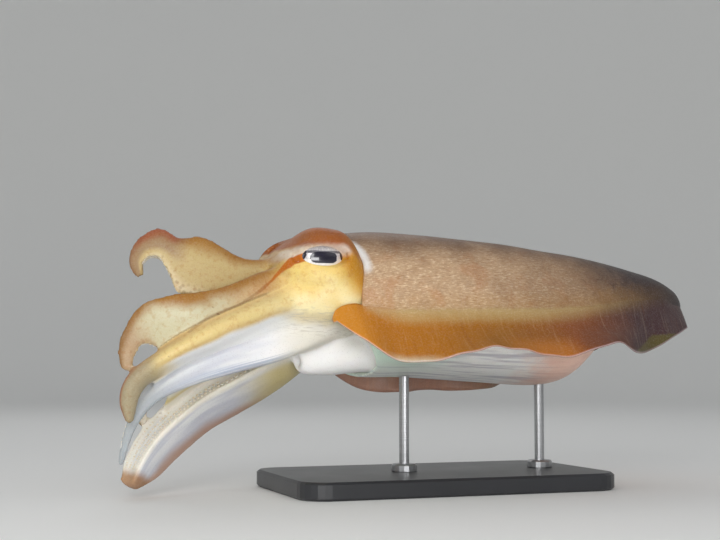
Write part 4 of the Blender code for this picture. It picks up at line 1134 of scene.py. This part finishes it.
class Sheet:
    # one material and the nodes in it
    def __init__(self, name):
        self.material = bpy.data.materials.new(name)
        self.material.use_nodes = True
        self.tree = self.material.node_tree
        self.shader = self.tree.nodes["Principled BSDF"]

    def node(self, kind, settings=None, inputs=None, output=0):
        inputs = {key: getattr(value, "socket", value) for key, value in (inputs or {}).items()}
        return Wire(self, addNode(self.tree, kind, settings, inputs).outputs[output])

    def math(self, operation, *values):
        return self.node("ShaderNodeMath", {"operation": operation}, dict(enumerate(values)))

    def step(self, value, low, high):
        inputs = {"Value": value, "From Min": low, "From Max": high}
        return self.node("ShaderNodeMapRange", {"interpolation_type": "SMOOTHSTEP"}, inputs)

    def mask(self, *parts):
        # the product of numbers, wires and soft steps, each step as (value, low, high)
        total = None
        for part in parts:
            part = self.step(*part) if isinstance(part, tuple) else part
            total = part if total is None else total * part
        return total

    def mix(self, factor, a, b, blend="MIX"):
        a, b = (tone(value) if isinstance(value, str) else value for value in (a, b))
        settings = {"data_type": "RGBA", "blend_type": blend}
        return self.node("ShaderNodeMix", settings, {0: factor, 6: a, 7: b}, 2)

    def over(self, colour, *layers):
        # soft layers over a colour, each as the parts of its mask and then its own colour
        for *parts, layer in layers:
            colour = self.mix(self.mask(*parts), colour, layer)
        return colour

    def ramp(self, value, *stops):
        stops = [(place, tone(code)) for place, code in stops]
        return self.node("ShaderNodeValToRGB", {"stops": stops}, {0: value})

    def mark(self, name):
        return self.node("ShaderNodeAttribute", {"attribute_name": name}, None, 2)

    def combined(self, *axes):
        return self.node("ShaderNodeCombineXYZ", None, dict(enumerate(axes)))

    def stretched(self, place, x, y, z):
        return self.node("ShaderNodeMapping", None, {"Vector": place, "Scale": (x, y, z)})

    def noise(self, place, scale, detail=3, rough=0.5, warp=0):
        inputs = {"Vector": place, "Scale": scale, "Detail": detail, "Roughness": rough, "Distortion": warp}
        return self.node("ShaderNodeTexNoise", None, inputs)

    def cells(self, place, scale, feature="F1"):
        return self.node("ShaderNodeTexVoronoi", {"feature": feature}, {"Vector": place, "Scale": scale})

    def warped(self, place, amount):
        # the same coordinates, pushed about a little
        push = self.node("ShaderNodeTexNoise", None, {"Vector": place, "Scale": 0.3, "Detail": 1}, 1)
        scaled = self.node("ShaderNodeVectorMath", {"operation": "SCALE"}, {0: push, "Scale": amount})
        return self.node("ShaderNodeVectorMath", {"operation": "ADD"}, {0: place, 1: scaled})

    def axes(self, place):
        outputs = self.node("ShaderNodeSeparateXYZ", None, {0: place}).socket.node.outputs
        return [Wire(self, outputs[k]) for k in range(3)]

    def bump(self, height, strength, distance, normal=None):
        inputs = {"Height": height, "Strength": strength, "Distance": distance}
        if normal is not None:
            inputs["Normal"] = normal
        return self.node("ShaderNodeBump", None, inputs)

    def set(self, **values):
        for name, value in values.items():
            socket = self.shader.inputs[name.replace("_", " ")]
            if isinstance(value, Wire):
                self.tree.links.new(value.socket, socket)
            else:
                socket.default_value = value
        return self.material

    def ownPlace(self):
        return self.node("ShaderNodeTexCoord", None, None, 3)

    def bodyPlace(self):
        # the piece's own coordinates turned back to the body's frame, in mm
        return self.node("ShaderNodeMapping", {"vector_type": "TEXTURE"}, {
            "Vector": self.ownPlace(), "Location": (0, 0, posture["lift"] * mm),
            "Rotation": (math.radians(posture["bank"]), 0, 0), "Scale": (mm, mm, mm),
        })


def skinMaterial():
    s = Sheet("cuttlefishSkin")
    place = s.bodyPlace()
    x, y, z = s.axes(place)
    drift = s.noise(place, 0.045, 1.5, 0.4) - 0.5
    patch = s.noise(place, 0.11, 4, 0.55, 0.4)
    grain = s.noise(place, 0.9, 3, 0.6)
    wander = patch - 0.5

    # mantle: sand with fine pale dashes along the body; umber and mauve on top and towards the tail, partly
    # the skin's own colour and partly painted shade; white beneath, with a painted greenish water reflection
    # at the front
    dashes = s.noise(s.stretched(place, 0.34, 1, 1.25), 0.85, 4, 0.62, 0.25)
    threads = s.noise(s.stretched(place, 0.16, 1, 1.5), 1.3, 2, 0.5)
    blotches = s.noise(place, 0.05, 4, 0.6, 0.6)
    rise = s.mark("overFin")
    back = s.over(
        "sand",
        ((dashes, 0.5, 0.72), 0.7, "sandPale"),
        ((dashes, 0.47, 0.3), 0.6, "sandBrown"),
        ((threads, 0.58, 0.7), 0.4, "sandPale"),
        ((patch, 0.52, 0.75), 0.4, "sandBrown"),
        ((blotches, 0.5, 0.66), 0.3, "B0703E"),
        # painted shade: the top of the back darkens in umber, over the back's own browner tone
        ((z + drift * 20, 19, 48), 0.82, "umber"),
        # umber and mauve towards the tail: partly the skin's own colour, partly painted shade where the light
        # falls off
        ((x + drift * 70, -30, 140), 0.72, "umber"),
        ((x + wander * 40 + z * 0.6, 90, 170), 0.95, "mauve"),
        ((rise + wander * 12, 22, 5), (x, 200, 120), 0.25, "ochre"),
        ((rise + wander * 3, 7.5, 4), (x, 170, 60), 0.45, "finLine"),
        ((s.mark("behindEdge") + wander * 5, 7, 2), (z, 12, 20), (z, 45, 38), 0.9, "E4E4E2"),
    )
    stripes = s.noise(s.stretched(place, 0.05, 1, 1), 0.24, 3, 0.55)
    belly = s.over(
        "belly",
        ((stripes, 0.46, 0.64), 0.75, "bellyLilac"),
        # painted reflection: a greenish tint of water on the front of the belly
        ((x + wander * 14, 10, -36), (z, -52, -40), 0.9, "bellyGreen"),
        ((x + wander * 30, 40, 78), 0.8, "bellyPink"),
    )
    mantle = s.over(back, ((rise + wander * 1.5 + s.step(x, 165, 190) * 9, 0.6, -2.2), belly))

    # fins: ochre above, brown-purple at the tail, partly their own colour and partly painted shade; a painted
    # patch of light on the outer fin, a thin pale edge, dull rose beneath
    share = s.mark("finShare")
    ribs = s.noise(s.stretched(place, 1, 0.07, 0.07), 0.5, 3, 0.6)
    loose = x + drift * 12
    finTop = s.over(
        # partly the fins' own colour, partly painted shade: darker towards the tail, where the light falls
        # off
        s.ramp(
            s.step(x + drift * 30, -95, 200),
            (0, "finFront"), (0.34, "finMiddle"), (0.64, "finRear"), (0.88, "finTail"),
        ),
        ((ribs, 0.52, 0.74), 0.09, "sandPale"),
        ((ribs, 0.46, 0.3), 0.22, "finRear"),
        # painted light: a brighter orange patch on the outer half of the fin
        ((loose, 10, 40), (loose, 84, 58), (share, 0.45, 0.85), 0.5, "finGlow"),
        ((share + wander * 0.05, 0.26, 0.14), (x, 120, 40), (x, -62, -40), 0.3, "finLine"),
        ((loose, -58, -84), 0.7, "D58A1C"),
        ((share - s.math("ABSOLUTE", x - 154) * 0.012 + wander * 0.1, 0.64, 0.72), 0.8, "olive"),
        ((share, 0.95, 0.995), 0.55, "finEdge"),
        ((x, -64, -52), (x, -22, -38), (share + wander * 0.1, 0.82, 0.97), 0.3, "D5E0C8"),
    )
    finBelow = s.over("finUnder", ((ribs, 0.4, 0.7), 0.4, "rose"), ((x, 20, 110), 0.75, "olive"))
    fin = s.mix(s.mark("finUnder"), finTop, finBelow)

    # head: yellow cheek, rust brow, ochre rear rim, silver round the eye, painted shade in the wrinkles
    # beneath
    ex, ez = eyePlace(x, z)
    eyeWide = s.math("SQRT", ex * ex * 0.5 + ez * ez) + wander * 0.5
    ring = s.mask((eyeWide, 1.75, 1.2), (ez - ex * 0.12 + wander * 0.5, -0.3, 0.4), (ex, 1.45, 1.05))
    silver = s.math("MAXIMUM", ring, s.mask((loose, -104, -113), (z + drift * 10, 21, 27), 0.6))
    wrinkleShade = s.noise(s.stretched(place, 0.1, 0.6, 1), 1, 3, 0.5)
    brow = z + wander * 4 - ex * ex * 0.5 + s.step(ex, 0.9, 1.9) * 12
    low = z + wander * 5 + (x + 100) * 0.1
    head = s.over(
        "cheekDeep",
        ((drift * 1.2 + wander * 0.3 + (z + 2) * -0.022, -0.3, 0.3), "cheek"),
        ((x + drift * 10 + z * 0.6, -82, -66), (z + drift * 10, -14, 10), 0.95, "rim"),
        (silver, 0.8, "silver"),
        ((brow, 30, 35.5), 0.96, s.mix(s.step(ex, 0.9, 1.8), "rust", "B0700F")),
        ((low, -9, -13), 0.75, "fold"),
        # the underside's own white, toned a little darker as painted shade of its wrinkles
        ((low, -14, -20), "E8E3D6"),
        # painted shade: darker lines in the wrinkles under the head
        ((wrinkleShade, 0.5, 0.64), (z, -5, -12), (z, -30, -20), 0.5, "B9AF9C"),
        ((z + drift * 8, -26, -44), (x, -84, -98), (y, 0, 8), 0.85, "rootOlive"),
        (s.mark("onFunnel"), "white"),
    )

    # arms: keel colours by pair, cream to the suckers, painted shade in brown in the grooves between them
    along, oral, across, onArm = (s.mark(name) for name in ("along", "oralSide", "across", "onArm"))
    pair4, right = s.mark("pair4"), s.mark("rightArm")
    lower, left = s.mark("pair3") + pair4, 1 - right
    far, turn = along + drift * 0.12, oral + drift * 0.5
    first = s.over(
        "armCream",
        ((oral + drift * 0.8, -0.1, -0.85), "armOchre"),
        ((far, 0.64, 0.74), (turn, 0.6, 0.1), 0.7, "armPink"),
        ((far, 0.69, 0.75), (far, 0.92, 0.82), (turn, -0.1, -0.8), left, 0.85, "armRust"),
    )
    second = s.over(
        "armPeach",
        ((far, 0.3, 0.62), "armBlue"),
        ((far, 0.78, 0.88), 0.8, "AC8864"),
        ((oral + drift * 0.8, -0.3, -0.9), s.mix(s.step(far, 0.76, 0.88), "armOchre", "armTan")),
    )
    whiteSide = s.mark("whiteSide") + drift * 0.4
    white = s.step(whiteSide, 0.3, 0.75)
    third = s.over(
        "armYellow",
        ((far, 0.7, 0.84), "armGreen"),
        ((far, 0.4, 0.1), 0.6, "cheek"),
        ((across + drift * 0.5, -0.3, -0.9), 0.6, "armPeach"),
        ((far, 0.8, 0.9), (across + drift * 0.3, -0.45, -0.85), 0.7, "armRust"),
        ((whiteSide, 0, 0.3), (far, 0.8, 0.66), 0.35, "armPeach"),
        (white, (far, 0.8, 0.66), "armWhite"),
    )
    bands = s.noise(s.combined(along * 2.2, oral * 1.6 + right * 7, across * 1.6), 1.3, 2, 0.5)
    # painted shadow: the noise below and the mask after it make blue-grey stripes along the lower edge of the
    # left fourth arm
    lines = s.noise(s.combined(along * 1.4, (across - oral) * 4, 0), 1.6, 2, 0.5)
    under = s.mask((across - oral + drift * 0.3, 0.3, 0.8), (far, 0.8, 0.6), left)
    keelEdge = oral + drift * 0.3 - s.step(far, 0.25, 0.8) * 0.18
    # fourth pair: white arms with painted shade in bluish lilac bands; on the left one, painted light whitens
    # the root and painted shade greys it towards the tip
    fourth = s.over(
        "armWhite",
        ((bands - oral * 0.1 + far * 0.16, 0.42, 0.76), 0.75, "lilac"),
        ((far, 0.45, 0.9), left, 0.75, "969E9F"),
        ((far, 0.5, 0.15), left, "white"),
        ((lines, 0.4, 0.6), under, 0.75, "stripeBlue"),
        (right, (oral, 0.7, 0.3), 1 - s.mark("crease"), (far, 0.5, 0.2), 0.85, "rootOlive"),
        ((keelEdge, -0.38, -0.88), right, 0.85, s.mix(s.step(far, 0.2, 0.36), "C98C50", "rose")),
    )
    buds = s.step(s.cells(place, 0.3), 0.5, 0.25) * 0.6
    inner = s.mix(1 - lower, "suckerEdge", s.mix(buds, "DCCCA8", "armPink"))
    # painted shade: brown darkening in the creases where neighbouring arms meet
    groove = s.mask(s.mark("crease"), 1 - white, (x, -120, -136))
    spots = s.cells(s.stretched(s.warped(place, 2), 0.7, 1, 1.3), 0.08)
    arm = s.over(
        first,
        (s.mark("pair2") + lower, second),
        (lower, third),
        (pair4, fourth),
        ((oral + drift * 0.2, 0.5, 0.85), 0.85 - (1 - lower) * 0.25, inner),
        ((along + drift * 0.03, 0.935, 0.975), right, pair4, 0.85, "tip"),
        ((groove, 0.55, 1), 0.55, "armBrown"),
        ((spots, 0.1, 0.05), (oral, 0.2, -0.2), 0.6, 1 - pair4, "fleck"),
    )

    # the whole: mottled arms and head, lips, the streak before the eye (orange, with painted shade in brown
    # farther out), then mantle, fins and fine specks
    soft = s.mix(onArm, head, arm)
    mottle = s.noise(place, 0.3, 4, 0.62, 0.3)
    plain = s.mask(1 - s.mark("onFunnel"), 1 - white, s.math("MAXIMUM", onArm, s.step(low, -12, -6)))
    soft = s.mix(s.mask((mottle, 0.48, 0.7), plain, 0.4), soft, "E2B98A", "MULTIPLY")
    near = s.step(x, -148, -122)
    streak = s.mark("streak") - s.step(x, -124, -114) * 1.9 + wander * 1.4
    colour = s.over(
        soft,
        (s.mark("onLips"), s.mix(s.step(patch, 0.4, 0.65), "E9CFAE", "B98663")),
        # the streak: orange by the eye is the skin's own; farther out it turns to painted shade in brown
        # along the groove between the second and third arms
        ((streak, 1.5, 0.4), 0.35 + near * 0.65, s.mix(near, "armBrown", "orange")),
        (s.mark("onMantle"), mantle),
        (s.mark("onFin"), fin),
        ((s.cells(place, 0.75), 0.3, 0.12), 0.14, "fleck"),
        ((grain, 0.4, 0.8), 0.06, "FFFFFF"),
    )
    fine = s.noise(place, 1.6, 4, 0.6)
    goose = s.cells(place, 0.42, "SMOOTH_F1")
    normal = s.bump(fine * 0.35 + dashes * 0.5 * s.mark("onMantle") + goose * 0.4, 0.4, 0.0004)
    normal = s.bump(s.noise(s.stretched(place, 0.4, 1, 1), 0.16, 3, 0.5), 0.3, 0.0014, normal)
    return s.set(
        Base_Color=colour, Roughness=0.4 + patch * 0.2, Normal=normal, Coat_Weight=0.1 + grain * 0.18,
        Coat_Roughness=0.25, Subsurface_Weight=0.1, Subsurface_Radius=(1, 0.5, 0.3), Subsurface_Scale=0.003,
        IOR=1.38, Specular_IOR_Level=0.3,
    )


def suckerMaterial():
    s = Sheet("suckerFlesh")
    place = s.bodyPlace()
    patch = s.noise(place, 0.25)
    depth = s.mark("cupDepth")
    colour = s.over("FBF8F0", ((patch, 0.35, 0.65), "F0E7D4"), ((depth, 0.3, 0.9), 0.5, "D2BA92"))
    return s.set(
        Base_Color=colour, Roughness=0.34 + patch * 0.15, Normal=s.bump(s.noise(place, 3), 0.3, 0.0002),
        Coat_Weight=0.3, Subsurface_Weight=0.1, Subsurface_Radius=(1, 0.6, 0.4), Subsurface_Scale=0.002,
    )


def eyeMaterial(side):
    s = Sheet("eyeGlass" + side)
    place = s.bodyPlace()
    x, _, z = s.axes(place)
    ex, ez = eyePlace(x, z)
    patch = s.noise(place, 0.35, 4, 0.6)
    shimmer = s.noise(s.stretched(place, 1, 1, 0.35), 1.3, 3, 0.6)
    iris = s.over(
        "B9B2B8",
        ((shimmer, 0.3, 0.7), "F1ECE6"),
        ((patch, 0.5, 0.75), 0.4, "8C7FA0"),
        ((ez, 0.3, 0.9), 0.6, "8D8478"),
        ((ez, -0.1, -0.5), 0.7, "FAF7F2"),
    )

    def away(value, size, power):
        # how far a value is from nought, in sizes and raised to a power
        return (s.math("ABSOLUTE", value) / size) ** power

    # the W-shaped pupil: a broad middle and two upright ends, joined along the top
    across = s.math("ABSOLUTE", ex + (s.noise(place, 0.5, 2) - 0.5) * 0.12 + 0.01)
    middle = s.step(away(across, 0.6, 4) + away(ez + 0.18, 0.52, 3), 1.12, 0.9)
    ends = s.step(away(across - 0.87, 0.11, 2) + away(ez - 0.28, 0.6, 2), 1.2, 0.8)
    bridge = s.mask((s.math("ABSOLUTE", ez - across * 0.12 - 0.3), 0.15, 0.1), (across, 0.95, 0.88), 0.8)
    pupil = s.math("MAXIMUM", s.math("MAXIMUM", middle, ends), bridge)
    return s.set(
        Base_Color=s.mix(pupil, iris, "100A22"), Roughness=0.16 + patch * 0.1, Metallic=(1 - pupil) * 0.25,
        Coat_Weight=1, Coat_Roughness=0.03, Normal=s.bump(shimmer, 0.15, 0.0002), IOR=1.45,
    )


def beakMaterial():
    s = Sheet("beakHorn")
    rings = s.noise(s.stretched(s.bodyPlace(), 2.2, 0.4, 0.4), 0.8)
    return s.set(
        Base_Color=s.mix(rings, "1C0E08", "4A2812"), Roughness=0.25 + rings * 0.2,
        Normal=s.bump(rings, 0.3, 0.0002), Coat_Weight=0.4,
    )


def steelMaterial():
    s = Sheet("brushedRodSteel")
    own = s.ownPlace()
    brush = s.noise(s.stretched(own, 60, 60, 2200), 1, 3, 0.6)
    return s.set(
        Base_Color=s.mix(brush, "9A9B9D", "C6C7C9"), Metallic=1, Roughness=0.24 + s.noise(own, 70) * 0.16,
        Normal=s.bump(brush, 0.12, 0.0001),
    )


def baseMaterial():
    s = Sheet("satinBaseLacquer")
    own = s.ownPlace()
    smear = s.noise(own, 18, 4, 0.6)
    return s.set(
        Base_Color=s.mix(smear, "1B1C1F", "2A2B2F"), Roughness=0.32 + smear * 0.18,
        Normal=s.bump(s.noise(own, 900, 2), 0.08, 0.0001), Coat_Weight=0.25, Coat_Roughness=0.2,
    )


def paint(thing, material):
    thing.data.materials.clear()
    thing.data.materials.append(material)


paint(skin, skinMaterial())
suckers = buildSuckers(lines, suckerMaterial())
eyes = {}
for side, sign in (("left", -1), ("right", 1)):
    eyes[side] = objectOf("eye_glass_" + side, meshOf("eye_glass_" + side, buildEyeball(sign)))
    paint(eyes[side], eyeMaterial(side.capitalize()))
beak = objectOf("beak_horn", meshOf("beak_horn", buildBeak()))
paint(beak, beakMaterial())
paint(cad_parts["stand_base"], baseMaterial())
steel = steelMaterial()
for name in ("stand_rod_front", "stand_rod_rear"):
    paint(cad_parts[name], steel)
print("materials made")


# riding on the frame

flesh = [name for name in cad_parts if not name.startswith(("stand_", "eye_", "beak"))]
for piece, slot in ((skin, "mantle_skin"), (suckers, "arm_skin"), (beak, "beak_horn")):
    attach(piece, "root")
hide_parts(*flesh)
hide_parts("beak")
for side, eye in eyes.items():
    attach(eye, "root")
    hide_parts("eye_" + side)


# floor, lights and camera

studio = {
    "floor": "EFEFEC",
    "floorSides": 72,
    "sky": 0.42,
    "lamps": (
        # place, size, watts
        ((-0.62, -1.1, 0.62), 0.5, 4.3),
        ((0.75, -0.85, 0.95), 0.9, 0.9),
        ((0.1, 1.0, 1.1), 0.9, 2.2),
        ((-0.3, -0.95, 0.05), 0.45, 6.0),
        ((-1.15, -0.3, 0.5), 0.5, 1.5),
    ),
    "lampTarget": (-0.08, 0.0, 0.13),
    "camera": (-0.3645, -0.8507, 0.0889),
    "target": (-0.0404, 0.0398, 0.1552),
    "lens": 65,
}


def aimed(name, data, place, target):
    thing = objectOf(name, data)
    thing.location = place
    thing.rotation_euler = (Vector(target) - Vector(place)).to_track_quat("-Z", "Y").to_euler()
    return thing


def buildStudio():
    look = studio
    # a round floor whose rim curves up into a low wall
    sides = look["floorSides"]
    angles = turnsOf(sides)
    rim = [(2 + 0.7 * math.sin(t), 0.7 - 0.7 * math.cos(t)) for t in np.linspace(0, math.pi / 2, 14)]
    profile = ((0.4, 0), (1.2, 0), *rim, (2.7, 1.9))
    rings = [placesOf(radius * np.cos(angles), radius * np.sin(angles), z) for radius, z in profile]
    points = np.concatenate([*rings, [(0, 0, 0)]])
    ahead = [(j + 1) % sides for j in range(sides)]
    faces = [[j, ahead[j], len(points) - 1] for j in range(sides)]
    for low in range(0, len(points) - 1 - sides, sides):
        high = low + sides
        faces += [[low + j, high + j, high + ahead[j], low + ahead[j]] for j in range(sides)]
    floor = objectOf("studioFloor", meshOf("studioFloor", {"points": points, "faces": faces}, None))
    paint(floor, Sheet("paleFloor").set(Base_Color=tone(look["floor"]), Roughness=0.7))
    world = bpy.data.worlds.new("studio")
    world.use_nodes = True
    background = world.node_tree.nodes["Background"]
    background.inputs[0].default_value = (0.93, 0.95, 1.0, 1.0)
    background.inputs[1].default_value = look["sky"]
    bpy.context.scene.world = world
    for number, (place, size, watts) in enumerate(look["lamps"]):
        data = bpy.data.lights.new(f"softLamp{number}", "AREA")
        data.size = size
        data.energy = watts
        aimed(data.name, data, place, look["lampTarget"])
    data = bpy.data.cameras.new("camera")
    data.lens = look["lens"]
    data.sensor_width = 36
    bpy.context.scene.camera = aimed("camera", data, look["camera"], look["target"])
    bpy.context.scene.view_settings.view_transform = "Standard"


buildStudio()

print("scene done")
